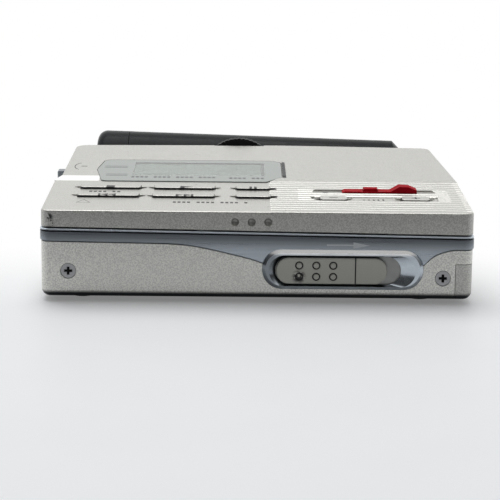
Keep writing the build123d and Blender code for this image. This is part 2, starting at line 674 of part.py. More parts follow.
def key_cutter(x, y, panel):
    """The opening of one key, with the scooped hollows at its two ends."""
    cut = pill(grown(x, KEY_GAP), grown(y, KEY_GAP), (LID_UNDER - 1, HEIGHT + 1), 0.8)
    scoop_y = grown(y, -0.5)
    for end in x:
        z = panel + KEY_SCOOP_R - 0.25
        cut += rod_y(KEY_SCOOP_R, end, scoop_y, z)
    return cut


def lid_shell():
    """The lid's outer shape: rear field, lower key panel and ribbed field, hollow below."""
    back = lid_blank(HEIGHT)
    left = (-WIDTH, RIB_X)
    right = (RIB_X, WIDTH)
    front_y = PANEL_BEVEL[0]
    for x, top in ((left, PANEL_TOP), (right, RIB_TOP)):
        bevel_y = PANEL_BEVEL[1] - (PANEL_BEVEL[1] - front_y) * (HEIGHT - top) / PANEL_STEP
        back -= block(x, (FRONT - 1, front_y), (0, HEIGHT + 1))
        back -= prism_x(x, [(front_y - 1, top), (bevel_y, top), (PANEL_BEVEL[1], HEIGHT),
                            (PANEL_BEVEL[1], HEIGHT + 1), (front_y - 1, HEIGHT + 1)])
    shell = back + (lid_blank(PANEL_TOP) & block(left, (FRONT - 1, front_y), (0, HEIGHT)))
    shell += lid_blank(RIB_TOP) & block(right, (FRONT - 1, front_y), (0, HEIGHT))
    shell -= outline(LID_WALL, (0, LID_UNDER))
    shell -= below(PARTING_Z + PARTING_GAP)
    return shell - block((-WIDTH, WIDTH), (HINGE_Y - HINGE_R, DEPTH), (0, LID_REAR_EDGE))


def lid_cover():
    """The silver lid with every opening that the keys, slider and window need."""
    lid = lid_shell()
    relief_y = REAR - RELIEF_DEPTH
    backing = outline(LID_WALL, (LID_REAR_EDGE, LID_UNDER + 0.1))
    lid += backing & block(around(WHEEL_X, WHEEL_R + 1.2), (relief_y - 0.7, REAR), (0, HEIGHT))
    for centre in HINGE_X:
        room = around(centre, POST_HALF + SIDE_GAP)
        lid -= block(room, (HINGE_Y - 1.2, HINGE_Y + HINGE_R + POST_ROOM), (0, LID_UNDER))
        for x in lug_spans(centre):
            lid += hinge_lug(x, LID_UNDER + 0.1)
        ear = -1 if centre < 0 else 1
        side = sorted((centre + ear * (EAR_OFFSET - FIT), centre + ear * (PIN_HALF + FIT)))
        lid -= block(side, (HINGE_Y - 1.2, HINGE_Y + HINGE_R + CLEAR), (0, LID_UNDER))
        lid -= rod(HINGE_PIN_R + TURN_FIT, *hinge_ends(centre, PIN_HALF + FIT))
    arm_x = (ARM_X[0] + SLED_TRAVEL - 1, ARM_X[1] + SLED_TRAVEL + 1)
    lid -= block(arm_x, (ARM_PIVOT_Y - 1, ARM_PIVOT_Y + 0.6), (0, LID_UNDER))
    lid -= rod_y(WHEEL_R + WHEEL_RELIEF, WHEEL_X, (relief_y, REAR + 5), WHEEL_Z)
    lid -= pill(CHANNEL_X, around(VOLUME_Y, CHANNEL_HALF), (CHANNEL_FLOOR, HEIGHT + 1), 0.6)
    lid -= pill(CHANNEL_X, around(RECORD_Y, RECORD_DEPTH / 2 + 0.3), (CHANNEL_FLOOR, HEIGHT + 1), 0.6)
    slot_x = (RECORD_STEM_X[0] - CLEAR, RECORD_STEM_X[1] + RECORD_TRAVEL + CLEAR)
    lid -= block(slot_x, around(RECORD_Y, RECORD_STEM_DEPTH / 2 + CLEAR), (LID_UNDER - 1, HEIGHT))
    for number in range(RIB_COUNT):
        y = RIB_FIRST_Y + number * RIB_PITCH
        low, high = y - RIB_HALF, y + RIB_HALF
        edge = RIB_TOP + 0.02
        lid -= prism_x((RIB_X, WIDTH), [(low, edge), (y, RIB_TOP - RIB_DEPTH), (high, edge)])
    for _, x, y, panel in key_places():
        lid -= key_cutter(x, y, panel)
    for x in DIMPLE_X:
        lid -= Pos(x, FRONT - DIMPLE_DEPTH, DIMPLE_Z) * Sphere((DIMPLE_R ** 2 + DIMPLE_DEPTH ** 2) ** 0.5)
    lid -= window_shape((WINDOW_FLOOR, HEIGHT + 1), FIT)
    lid -= window_shape((LID_UNDER - 1, HEIGHT), -WINDOW_LEDGE)
    trim = (TRIM_X[0] - FIT, TRIM_X[1] + FIT)
    return lid - block(trim, grown(TRIM_Y, FIT), (WINDOW_FLOOR, HEIGHT + 1))


def display_window():
    """The clear window over the display."""
    plate = window_shape((WINDOW_FLOOR, HEIGHT), 0)
    return fillet(plate.edges().group_by(Axis.Z)[-1], 0.15)


def window_end_trim():
    """The dark bar at the right end of the window."""
    bar = block(TRIM_X, TRIM_Y, (WINDOW_FLOOR, HEIGHT + TRIM_PROUD))
    return chamfer(bar.edges().group_by(Axis.Z)[-1], 0.12)


def lcd_panel():
    """The glass display cell under the window."""
    top = WINDOW_FLOOR - FIT
    return block(LCD_X, LCD_Y, (top - LCD_THICK, top))


def key_board():
    """The printed board under the keys, screwed to bosses of the lid."""
    z = (KEY_BOARD_BOTTOM, KEY_BOARD_TOP)
    return pill(around(0, KEY_BOARD_HALF), (FRONT + 3.0, LCD_Y[0] - 1.5), z, 1.0)


def key_domes():
    """The snap domes under the keys."""
    domes = []
    for _, x, y, _ in key_places():
        centre = (sum(x) / 2, sum(y) / 2)
        domes.append(pill(around(centre[0], 1.5), around(centre[1], 1.5), (KEY_BOARD_TOP, DOME_TOP), 0.7))
    return domes


def key(x, y, panel):
    """A crowned key cap on a flange that stops it under the lid."""
    top = panel + KEY_CROWN
    cap = pill(x, y, (FLANGE_BOTTOM, top), 0.7)
    cap = fillet(cap.edges().group_by(Axis.Z)[-1], 0.25)
    flange = pill(grown(x, 0.5), grown(y, 0.45), (FLANGE_BOTTOM, FLANGE_TOP), 0.6)
    return cap + flange


def record_slider():
    """The red record slider with its raised thumb hump and its foot under the lid."""
    y = around(RECORD_Y, RECORD_DEPTH / 2)
    low = CHANNEL_FLOOR + CLEAR
    slab_top = low + RECORD_SLAB
    crest = low + RECORD_HUMP
    start, crest_x, fall_x = RECORD_HUMP_X
    side = [(RECORD_X[0], low), (RECORD_X[1], low), (RECORD_X[1], slab_top + 0.3), (fall_x, crest - 0.1),
            (crest_x, crest), (start, slab_top), (RECORD_X[0] + 0.5, slab_top), (RECORD_X[0], low + 0.2)]
    body = prism_y(y, side)
    body = fillet(body.edges().filter_by(Axis.Y).sort_by(Axis.Z)[-2:], 0.5)
    stem_y = around(RECORD_Y, RECORD_STEM_DEPTH / 2)
    body += block(RECORD_STEM_X, stem_y, (LID_UNDER - 0.6, low + 0.1))
    body += block(grown(RECORD_STEM_X, 0.6), grown(stem_y, 0.6), (LID_UNDER - 0.6, LID_UNDER - CLEAR))
    pocket_y = around(RECORD_Y, LOCK_DEPTH / 2 + CLEAR)
    return body - block(grown(LOCK_X, CLEAR), pocket_y, (low + 0.1, HEIGHT + 1))


def record_lock():
    """The small lock button that rides on the record slider."""
    low = CHANNEL_FLOOR + CLEAR
    y = around(RECORD_Y, LOCK_DEPTH / 2)
    button = block(LOCK_X, y, (low + 0.1 + LOCK_TRAVEL + FIT, low + LOCK_HEIGHT + 0.1))
    return fillet(button.edges().group_by(Axis.Z)[-1], 0.15)


# ---- Disc holder and hinge pins
def disc_holder():
    """The folded sheet tray that carries the cartridge and lifts with the lid."""
    x = around(CARTRIDGE_CENTRE_X, CARTRIDGE_X / 2 + 0.1)
    y = (CARTRIDGE_FRONT + CLEAR, RAIL_REAR_Y)
    low = CARTRIDGE_FLOOR - 0.05 - SHEET
    top = (HOLDER_TOP - SHEET, HOLDER_TOP)
    tray = pill(x, (y[0], CARTRIDGE_REAR), top, 2.5)
    for side, way in zip(x, (-1, 1)):
        wall = sorted((side, side + way * SHEET))
        tray += block(wall, y, (low, HOLDER_TOP))
        tray += block(sorted((side + way * SHEET, side - way * RAIL_WIDTH)), y, (low, low + SHEET))
    arm_room = (ARM_X[0] - 1.2, ARM_X[1] + SLED_TRAVEL + 1.2)
    tray -= block(arm_room, grown(HEAD_Y, 1.0), grown(top, 1))
    tray -= block(arm_room, (ARM_PIVOT_Y - 4.5, REAR), grown(top, 1))
    tray -= pill(*HOLDER_WINDOW, grown(top, 1), 4.0)
    for centre in HINGE_X:
        near = centre + (-EAR_OFFSET if centre < 0 else EAR_OFFSET)
        ear = sorted((near, near + (-SHEET if centre < 0 else SHEET)))
        tray += block(ear, (CARTRIDGE_REAR - 1.5, HINGE_Y - HINGE_R), (top[0], HINGE_Z))
        tray += hinge_lug(ear, top[0])
    return tray


def hinge_pins():
    """The pins that the lid and the disc holder turn on."""
    return [rod(HINGE_PIN_R, *hinge_ends(centre, PIN_HALF)) for centre in HINGE_X]


# ---- Drive
def main_board():
    """The main printed board, behind the cell bay, notched round the chassis posts."""
    board = outline(WALL + 0.4, (BOARD_Z, BOARD_Z + BOARD_THICK))
    board &= block((-WIDTH, WIDTH), (CELL_Y_RANGE[1] + 0.9, DEPTH), (0, HEIGHT))
    for x, y in CHASSIS_POSTS:
        board -= rod_z(POST_R + 0.3, x, y, (0, HEIGHT))
    return board - rod_z(DOOR_KNUCKLE_R + 0.6, DOOR_PIN_X, DOOR_REAR_Y, (0, HEIGHT))


def board_chips():
    """The larger chips on the main board."""
    top = BOARD_Z + BOARD_THICK
    chips = []
    for x, y, width, depth in CHIPS:
        spot = (across(x), along(y))
        size = (around(spot[0], width / 2), around(spot[1], depth / 2))
        chips.append(block(*size, (top, top + CHIP_THICK)))
    return chips


def chassis_plate():
    """The pressed plate that carries the motors and the pickup's rods."""
    plate = block(around(0, CHASSIS_X), CHASSIS_Y, (CHASSIS_Z, CHASSIS_Z + SHEET))
    plate = fillet(plate.edges().filter_by(Axis.Z), 2.0)
    plate -= block((SLED_X[0] - 0.2, BRACKET_X[1] - 0.1), (-SLED_HALF_Y - 0.5, SCREW_Y + 1.5), (0, HEIGHT))
    plate -= rod_z(TURNTABLE_R + 0.8, SPINDLE_X, 0, (0, HEIGHT))
    for start in BRACKET_X:
        for y in (grown((GUIDE_Y, SCREW_Y), BRACKET_HALF), around(-GUIDE_Y, BRACKET_HALF)):
            plate += block((start, start + BRACKET_THICK), y, (GUIDE_Z - BRACKET_HALF, CHASSIS_Z + SHEET))
    for y in (GUIDE_Y, -GUIDE_Y):
        plate -= rod_x(GUIDE_R, (BRACKET_X[0] - 1, BRACKET_X[1] + 2), y, GUIDE_Z)
    return plate - rod_x(SCREW_R + FIT, (BRACKET_X[0] - 1, BRACKET_X[1] + 2), SCREW_Y, GUIDE_Z)


def chassis_dampers():
    """The rubber dampers between the case posts and the chassis plate."""
    return [rod_z(POST_R, x, y, (POST_TOP, CHASSIS_Z)) for x, y in CHASSIS_POSTS]


def guide_rods():
    """The two steel rods that the pickup runs on."""
    ends = (BRACKET_X[0], BRACKET_X[1] + BRACKET_THICK)
    return [rod_x(GUIDE_R, ends, y, GUIDE_Z) for y in (GUIDE_Y, -GUIDE_Y)]


def spindle_motor():
    """The flat motor under the turntable."""
    motor = rod_z(MOTOR_R, SPINDLE_X, 0, (MOTOR_BASE, CHASSIS_Z))
    return motor - rod_z(SPINDLE_R + FIT, SPINDLE_X, 0, (MOTOR_BASE + 0.5, HEIGHT))


def turntable():
    """The turntable that the disc's hub sits on, with its spindle."""
    top = CARTRIDGE_FLOOR - FIT
    table = rod_z(TURNTABLE_R, SPINDLE_X, 0, (top - TURNTABLE_THICK, top))
    table -= rod_z(TURNTABLE_R - 1.5, SPINDLE_X, 0, (top - 0.15, top + 1))
    return table + rod_z(SPINDLE_R, SPINDLE_X, 0, (MOTOR_BASE + 0.7, top))


def pickup_sled():
    """The block that carries the laser pickup along the guide rods."""
    sled = block(SLED_X, around(0, SLED_HALF_Y), SLED_Z)
    sled += block(ARM_X, (SLED_HALF_Y - 1.8, SLED_HALF_Y), (SLED_Z[1] - 0.5, ARM_BASE_Z[0]))
    for y in (GUIDE_Y, -GUIDE_Y):
        sled -= rod_x(GUIDE_R + TURN_FIT, (0, HALF), y, GUIDE_Z)
    lens_x = sum(ARM_X) / 2
    return sled - rod_z(LENS_R + FIT, lens_x, 0, (SLED_Z[1] - 1.0, HEIGHT))


def objective_lens():
    """The pickup's glass lens in its round seat."""
    lens_x = sum(ARM_X) / 2
    lens = rod_z(LENS_R, lens_x, 0, (SLED_Z[1] - 1.0, SLED_Z[1] + 0.6))
    return fillet(lens.edges().group_by(Axis.Z)[-1], 0.4)


def sled_nut():
    """The half nut that the lead screw drives."""
    nut = block(ARM_X, (SLED_HALF_Y, SCREW_Y + BRACKET_HALF), around(GUIDE_Z, BRACKET_HALF))
    return nut - rod_x(SCREW_R + FIT, (0, HALF), SCREW_Y, GUIDE_Z)


def arm_bracket():
    """The sheet bracket that carries the head arm round the back of the cartridge."""
    back_y = (CARTRIDGE_REAR + FIT, ARM_PIVOT_Y + ARM_PIN_R)
    bracket = block(ARM_X, (SLED_HALF_Y - 1.8, back_y[1]), ARM_BASE_Z)
    bracket += block(ARM_X, back_y, (ARM_BASE_Z[0], ARM_PIVOT_Z - 0.45))
    for x in ((ARM_X[0], ARM_X[0] + 0.7), (ARM_X[1] - 0.7, ARM_X[1])):
        bracket += block(x, back_y, (ARM_BASE_Z[0], ARM_PIVOT_Z))
    return bracket + rod_x(ARM_PIN_R, ARM_X, ARM_PIVOT_Y, ARM_PIVOT_Z)


def head_arm():
    """The sprung arm over the cartridge, turning on the bracket's pin."""
    middle = grown(ARM_X, -0.8)
    arm = block(ARM_X, (HEAD_Y[0], ARM_PIVOT_Y - 1.0), ARM_Z)
    arm += block(middle, (ARM_PIVOT_Y - 1.1, ARM_PIVOT_Y), ARM_Z)
    arm += rod_x(2 * ARM_PIN_R, middle, ARM_PIVOT_Y, ARM_PIVOT_Z)
    return arm - rod_x(ARM_PIN_R + TURN_FIT, ARM_X, ARM_PIVOT_Y, ARM_PIVOT_Z)


def magnetic_head():
    """The recording head under the end of the arm."""
    return block(grown(ARM_X, -0.3), HEAD_Y, (CARTRIDGE_TOP + FIT, ARM_Z[0]))


def toothed(x, y, z, teeth, module):
    """A small spur gear on an axis along X, with slim teeth."""
    pitch_r = teeth * module / 2
    points = []
    for number in range(teeth):
        middle = 2 * pi * number / teeth
        for turn, radius in ((-0.20, -1.15), (-0.09, 0.75), (0.09, 0.75), (0.20, -1.15)):
            angle = middle + turn * 2 * pi / teeth
            reach = pitch_r + radius * module
            points.append((y + reach * cos(angle), z + reach * sin(angle)))
    return prism_x(x, points)


def lead_screw():
    """The lead screw with its driven gear."""
    screw_rod = rod_x(SCREW_R, (GEAR_X[0], BRACKET_X[1] + BRACKET_THICK), SCREW_Y, GUIDE_Z)
    return screw_rod + toothed(GEAR_X, SCREW_Y, GUIDE_Z, SCREW_TEETH, GEAR_MODULE)


def sled_motor():
    """The small motor that drives the lead screw."""
    can = rod_x(SLED_MOTOR_R, SLED_MOTOR_X, PINION_Y, GUIDE_Z - 0.6)
    can = can & block(SLED_MOTOR_X, (0, DEPTH), (0, CHASSIS_Z))
    bore = (SLED_MOTOR_X[0] + 2, SLED_MOTOR_X[1] + 1)
    return can - rod_x(PINION_SHAFT_R + TURN_FIT, bore, PINION_Y, GUIDE_Z)


def drive_pinion():
    """The pinion on the sled motor's shaft."""
    shaft = rod_x(PINION_SHAFT_R, (SLED_MOTOR_X[0] + 2.5, GEAR_X[1]), PINION_Y, GUIDE_Z)
    teeth = Pos(0, PINION_Y, GUIDE_Z) * Rot(180.0 / PINION_TEETH, 0, 0) * Pos(0, -PINION_Y, -GUIDE_Z)
    return shaft + teeth * toothed(GEAR_X, PINION_Y, GUIDE_Z, PINION_TEETH, GEAR_MODULE)


# ---- Power and connectors
def battery_tray():
    """The moulded channel that the flat cell slides into from the right."""
    low = CASE_FLOOR_TOP + FIT
    outer = block((CELL_START_X - 1.2, CELL_END_X), grown(CELL_Y_RANGE, TRAY_WALL), (low, CELL_FLOOR + CELL_Z))
    return outer - block((CELL_START_X - 0.8, HALF), grown(CELL_Y_RANGE, FIT), (CELL_FLOOR - FIT, HEIGHT))


def flat_cell():
    """The flat rechargeable cell."""
    cell = block((CELL_START_X, CELL_END_X), CELL_Y_RANGE, (CELL_FLOOR, CELL_FLOOR + CELL_Z))
    return fillet(cell.edges().filter_by(Axis.X), 0.6)


def cell_contacts():
    """The leaf contacts at the inner end of the cell."""
    leaves = []
    for y in (CELL_CENTRE_Y - 4.5, CELL_CENTRE_Y + 4.5):
        x = (CELL_START_X - 0.75, CELL_START_X - 0.05)
        leaves.append(block(x, around(y, 1.5), (CELL_FLOOR + 0.5, CELL_FLOOR + 4.5)))
    return leaves


def jack(side, y, pin):
    """A jack barrel that ends flush with the case side, with or without a centre pin."""
    inner = side * (HALF - JACK_LENGTH - 0.6)
    outer = side * (HALF + 1)
    wall_x = side * (HALF - JACK_LENGTH + 0.9)
    barrel = rod_x(JACK_BODY_R, (inner, outer), y, JACK_Z) & outline(0, (0, HEIGHT))
    barrel -= rod_x(JACK_BORE_R, (wall_x, outer + side), y, JACK_Z)
    if pin:
        barrel += rod_x(DC_PIN_R, (wall_x - side * 0.2, side * (HALF - 2.5)), y, JACK_Z)
    return barrel


def rear_insert():
    """The brass insert that the external case screws into."""
    insert = block(INSERT_X, INSERT_Y, INSERT_Z)
    return insert - rod_y(STUD_R, WHEEL_X, (INSERT_Y[0] + 0.3, REAR + 1), WHEEL_Z)


def terminal_pads():
    """The gold pads that meet the external case's contacts."""
    pads = []
    for x in PAD_X:
        pad = block(around(x, PAD_HALF), (REAR - 2.2, REAR), PAD_Z)
        pads.append(pad & outline(0.15, (0, HEIGHT)))
    return pads


def hold_switch():
    """The hold switch knob on the left side."""
    side = -HALF + WAIST_LEFT + 0.1
    y = around(HOLD_Y, HOLD_LENGTH / 2)
    knob = block((side - HOLD_PROUD, side - 0.2), y, around(HOLD_Z, HOLD_HEIGHT / 2))
    knob = fillet(knob.edges().group_by(Axis.X)[0], 0.3)
    return knob + block((side - 0.3, side + 0.9), y, around(HOLD_STEM_Z, 0.35))


# ---- External battery case
CASE_LENGTH = CASE_X[1] - CASE_X[0]
CASE_START = Vector(CASE_X[0], CASE_AXIS_Y, CASE_FLOOR + CASE_R[0])
CASE_WAY = (Vector(CASE_X[1], CASE_AXIS_Y, CASE_FLOOR + CASE_R[1]) - CASE_START).normalized()


def along_case(distance):
    """A point on the battery case's axis."""
    return tuple(CASE_START + CASE_WAY * distance)


CASE_HOLLOW = (along_case(CASE_ENDS[0]), along_case(CASE_LENGTH - CASE_ENDS[1]))


def case_solid(gap):
    """The tapered outside of the battery case as a solid, grown by a gap."""
    cone = Cone(CASE_R[0] + gap, CASE_R[1] + gap, CASE_LENGTH, align=(Align.CENTER, Align.CENTER, Align.MIN))
    if not gap:
        cone = fillet(cone.edges().group_by(Axis.Z)[0], 2.2)
        cone = chamfer(cone.edges().group_by(Axis.Z)[-1], 1.5)
    return Plane(origin=CASE_START, z_dir=CASE_WAY) * cone


def aa_case_body():
    """The tube of the battery case, with the pocket that clears the thumb wheel."""
    tube = case_solid(0) - rod(CASE_BORE_R, *CASE_HOLLOW)
    tube -= rod_y(WHEEL_R + WHEEL_RELIEF, WHEEL_X, (WHEEL_Y[0] - 1, WHEEL_Y[1] + 0.25), WHEEL_Z)
    return tube - block((CASE_X[0] - 1, CASE_X[0] + CAP_LENGTH + CLEAR), (REAR, REAR * 3), (-1, HEIGHT * 2))


def aa_case_cap():
    """The pull-off end cap of the battery case."""
    cap = case_solid(0) - rod(CASE_BORE_R, *CASE_HOLLOW)
    return cap & block((CASE_X[0] - 1, CASE_X[0] + CAP_LENGTH), (REAR, REAR * 3), (-1, HEIGHT * 2))


def aa_cell():
    """The round dry cell with its raised button."""
    start = AA_START
    cell = rod(AA_R, along_case(start), along_case(start + AA_LENGTH - 1.0))
    return cell + rod(AA_BUTTON_R, along_case(start + AA_LENGTH - 1.1), along_case(start + AA_LENGTH))


def aa_contacts():
    """The spring contact in the cap end and the plate at the far end."""
    start = CASE_ENDS[0]
    spring = Cone(AA_R - 2.75, AA_BUTTON_R, AA_START - start - FIT, align=(Align.CENTER, Align.CENTER, Align.MIN))
    spring = Plane(origin=along_case(start), z_dir=CASE_WAY) * spring
    plate = rod(AA_R - 2.25, along_case(AA_START + AA_LENGTH + FIT), CASE_HOLLOW[1])
    return [spring, plate]


def case_bracket():
    """The flange of the battery case that the thumb wheel clamps to the body."""
    flange = block(BRACKET_SPAN, FLANGE_Y, BRACKET_Z)
    flange = fillet(flange.edges().filter_by(Axis.Y), 1.5)
    inner = grown((WHEEL_X - WHEEL_R, WHEEL_X + WHEEL_R), 1.5)
    for x in ((BRACKET_SPAN[0] + 1.5, inner[0]), (inner[1], BRACKET_SPAN[1] - 1.5)):
        flange += block(x, (FLANGE_Y[0] + 0.2, CASE_AXIS_Y - 4.0), around(CASE_MID_Z, 3.5)) - case_solid(0.03)
    return flange - rod_y(STUD_R + 0.2, WHEEL_X, (REAR - 1, REAR + 3), WHEEL_Z)


def thumb_wheel():
    """The knurled wheel and its stud that fasten the battery case."""
    wheel = rod_y(WHEEL_R, WHEEL_X, WHEEL_Y, WHEEL_Z)
    for number in range(WHEEL_TEETH):
        angle = 2 * pi * number / WHEEL_TEETH
        x = WHEEL_X + (WHEEL_R + 0.1) * cos(angle)
        z = WHEEL_Z + (WHEEL_R + 0.1) * sin(angle)
        wheel -= rod_y(WHEEL_GROOVE_R, x, (WHEEL_Y[0] - 1, WHEEL_Y[1] + 1), z)
    stud = rod_y(STUD_R - TURN_FIT, WHEEL_X, (INSERT_Y[0] + 0.4, WHEEL_Y[0] + 0.1), WHEEL_Z)
    return wheel + stud


# ---- One file for each piece
def all_pieces():
    """Every piece of the recorder, by node name."""
    makers = (lower_case, mid_frame, open_bezel, open_slider, latch_carrier, latch_spring, lid_catch,
              battery_door, rubber_feet, case_screws, lid_cover, display_window,
              window_end_trim, lcd_panel, key_board, key_domes, record_slider, record_lock, disc_holder,
              hinge_pins, main_board, board_chips, chassis_plate, chassis_dampers, guide_rods,
              spindle_motor, turntable, pickup_sled, objective_lens, sled_nut, arm_bracket, head_arm,
              magnetic_head, lead_screw, sled_motor, drive_pinion, battery_tray, flat_cell, cell_contacts,
              rear_insert, terminal_pads, hold_switch, aa_case_body, aa_case_cap, aa_cell, aa_contacts,
              case_bracket, thumb_wheel)
    pieces = {maker.__name__: maker() for maker in makers}
    for name, x, y, panel in key_places():
        pieces[name] = key(x, y, panel)
    pieces["battery_door_pin"] = door_pin_shape(0)
    pieces["headphone_jack"] = jack(-1, LEFT_JACKS_Y[0], False)
    pieces["power_jack"] = jack(-1, LEFT_JACKS_Y[1], True)
    side_jacks = [jack(1, y, False) for y in RIGHT_JACKS_Y]
    pieces["input_jacks"] = side_jacks
    return pieces


def centred(pieces):
    """The pieces as lists of solids, moved so that the origin is under the middle of them all."""
    solids = {node: list(shape) if isinstance(shape, list) else [shape] for node, shape in pieces.items()}
    boxes = [solid.bounding_box() for group in solids.values() for solid in group]
    middle_x = (min(box.min.X for box in boxes) + max(box.max.X for box in boxes)) / 2
    middle_y = (min(box.min.Y for box in boxes) + max(box.max.Y for box in boxes)) / 2
    move = Pos(-round(middle_x, 3), -round(middle_y, 3), 0)
    return {node: [move * solid for solid in group] for node, group in solids.items()}


os.makedirs("parts", exist_ok=True)
for node, group in centred(all_pieces()).items():
    solid = Compound(children=group) if len(group) > 1 else group[0]
    export_step(solid, os.path.join("parts", node + ".step"))
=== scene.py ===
from math import pi, radians

import bpy
from bpy.props import FloatProperty, FloatVectorProperty, PointerProperty
from mathutils import Matrix, Vector


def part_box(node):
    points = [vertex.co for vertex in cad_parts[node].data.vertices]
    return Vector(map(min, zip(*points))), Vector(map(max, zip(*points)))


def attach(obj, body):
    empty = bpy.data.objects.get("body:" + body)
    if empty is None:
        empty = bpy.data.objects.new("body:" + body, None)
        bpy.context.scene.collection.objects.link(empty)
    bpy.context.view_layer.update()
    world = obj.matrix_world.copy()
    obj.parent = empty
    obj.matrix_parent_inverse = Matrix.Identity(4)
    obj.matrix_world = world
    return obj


bl_info = {
    "name": "Portable disc recorder",
    "version": (1, 0, 0),
    "blender": (4, 5, 0),
    "location": "3D View > Sidebar > Recorder",
    "description": "Dresses the packed recorder with its marks, finishes, light and camera",
    "category": "Add Mesh",
}

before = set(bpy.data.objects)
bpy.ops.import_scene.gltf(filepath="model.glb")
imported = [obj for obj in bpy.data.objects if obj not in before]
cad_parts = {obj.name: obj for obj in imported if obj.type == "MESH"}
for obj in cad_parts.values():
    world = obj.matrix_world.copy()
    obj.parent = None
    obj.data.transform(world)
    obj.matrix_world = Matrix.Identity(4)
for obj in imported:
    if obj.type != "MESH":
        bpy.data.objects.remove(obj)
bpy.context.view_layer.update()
MM = 0.001


def low(node):
    """Lowest corner of a node, in metres."""
    return Vector(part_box(node)[0])


def high(node):
    """Highest corner of a node, in metres."""
    return Vector(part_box(node)[1])


LID_TOP = high("display_window").z
KEY_TOP = high("stop_key").z
PANEL_TOP = KEY_TOP - 0.45 * MM
VOLUME_TOP = high("volume_up_key").z
KEY_NODES = sorted(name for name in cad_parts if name.endswith("_key"))
BODY_MIDDLE = Vector(((low("mid_frame").x + high("mid_frame").x) / 2, low("open_slider").y + 36.5 * MM, 0.0))
CAMERA_PLACE = BODY_MIDDLE + Vector((-3.626, -397.457, 89.461)) * MM
CAMERA_YAW, CAMERA_PITCH, CAMERA_ROLL = 0.00643485, 0.21670318, 0.01076717

# Places in millimetres from the middle of the body's footprint
CHIPPED_CORNER = ((-37.6, -36.0, 15.7), (-37.4, -36.0, 14.5))
CASE_SCUFF = ((-18.9, -36.5, 5.9), (-18.5, -36.5, 5.9))
DIMPLES = tuple((x, -36.0, 15.0) for x in (-4.05, -1.05, 1.95))
FACET_LOW, FACET_HIGH = (-40.0, -6.4), (-30.8, -2.2)
RIBS_LOW, RIBS_HIGH = (2.6, -34.6), (38.0, -5.6)
DISPLAY_LOW, DISPLAY_HIGH = (-24.3, -0.9), (1.6, 13.2)
CORNER_TRIANGLE = (-32.05, -27.5)
SOCKET_ARC, SOCKET_DASH = (-34.76, 8.3), (-34.5, 8.25)
RECORD_DOT_X = 13.0
VOLUME_STEPS_X = 20.0
ARROW_SHAFT_X, ARROW_HEAD_X = (12.6, 17.4), 18.4
# Each row of ticks: its two ends along X, and its place along Y
STOP_TICKS = ((-31.4, -25.4), -17.6)
FORWARD_TICKS = ((-15.3, -1.8), -27.4)
WINDOW_TICKS = (((-24.2, -7.0), -3.0), ((-5.0, 2.0), -3.5))
# Each framed field on the window: its middle, and the width of its two lines
WINDOW_FIELDS = (((-28.1, 8.0), 4.6), ((-27.5, -0.9), 4.2))
TICK_WIDTH, TICK_DEPTH = 0.55, 1.15


def spot(x, y, z=0.0):
    """A place from millimetres that start at the middle of the body's footprint."""
    return BODY_MIDDLE + Vector((x, y, z)) * MM


# ---- Sizes and colours that a user would change
class RecorderSizes(bpy.types.PropertyGroup):
    """Sizes of the printed marks, the stage and the view."""
    print_thickness: FloatProperty(
        name="Print thickness", description="How far printed marks stand above the surface",
        default=0.02 * MM, unit="LENGTH", precision=6)
    icon_height: FloatProperty(
        name="Icon height", description="Depth of the symbols on the keys",
        default=1.7 * MM, unit="LENGTH", precision=5)
    floor_size: FloatProperty(
        name="Floor size", description="Length of the floor's side", default=6.0, unit="LENGTH")
    lens_length: FloatProperty(
        name="Lens length", description="Focal length for a 36 mm wide sensor", default=147.2)


class RecorderColours(bpy.types.PropertyGroup):
    """Base colours of the finishes, as linear red, green and blue."""
    silver: FloatVectorProperty(
        name="Silver paint", description="Lid, lower case and key tops", subtype="COLOR",
        default=(0.53, 0.526, 0.495), min=0.0, max=1.0)
    band: FloatVectorProperty(
        name="Band", description="Blue-grey metal of the waist band", subtype="COLOR",
        default=(0.30, 0.33, 0.36), min=0.0, max=1.0)
    chrome: FloatVectorProperty(
        name="Chrome", description="Bright plated trim", subtype="COLOR",
        default=(0.55, 0.60, 0.65), min=0.0, max=1.0)
    slider: FloatVectorProperty(
        name="Open slider", description="Beige-grey moulded knob", subtype="COLOR",
        default=(0.38, 0.375, 0.34), min=0.0, max=1.0)
    record: FloatVectorProperty(
        name="Record red", description="Record slider and its lock", subtype="COLOR",
        default=(0.40, 0.006, 0.015), min=0.0, max=1.0)
    case: FloatVectorProperty(
        name="Battery case", description="Dark gloss of the external case", subtype="COLOR",
        default=(0.020, 0.023, 0.024), min=0.0, max=1.0)
    window: FloatVectorProperty(
        name="Window", description="Pale tint of the display window", subtype="COLOR",
        default=(0.62, 0.69, 0.64), min=0.0, max=1.0)
    print: FloatVectorProperty(
        name="Print", description="Dark grey of the printed marks", subtype="COLOR",
        default=(0.015, 0.015, 0.016), min=0.0, max=1.0)
    floor: FloatVectorProperty(
        name="Floor", description="Pale floor under the recorder", subtype="COLOR",
        default=(0.91, 0.93, 0.95), min=0.0, max=1.0)


def sizes():
    """The scene's sizes."""
    return bpy.context.scene.recorder_sizes


def colours():
    """The scene's colours."""
    return bpy.context.scene.recorder_colours


# ---- Materials
def new_material(name, base, metallic=0.0, roughness=0.5):
    """A material with one Principled shader, and its node tree, shader and object coordinates."""
    material = bpy.data.materials.new(name)
    material.use_nodes = True
    tree = material.node_tree
    shader = tree.nodes["Principled BSDF"]
    shader.inputs["Base Color"].default_value = (*base, 1.0)
    shader.inputs["Metallic"].default_value = metallic
    shader.inputs["Roughness"].default_value = roughness
    coords = tree.nodes.new("ShaderNodeTexCoord").outputs["Object"]
    return material, tree, shader, coords


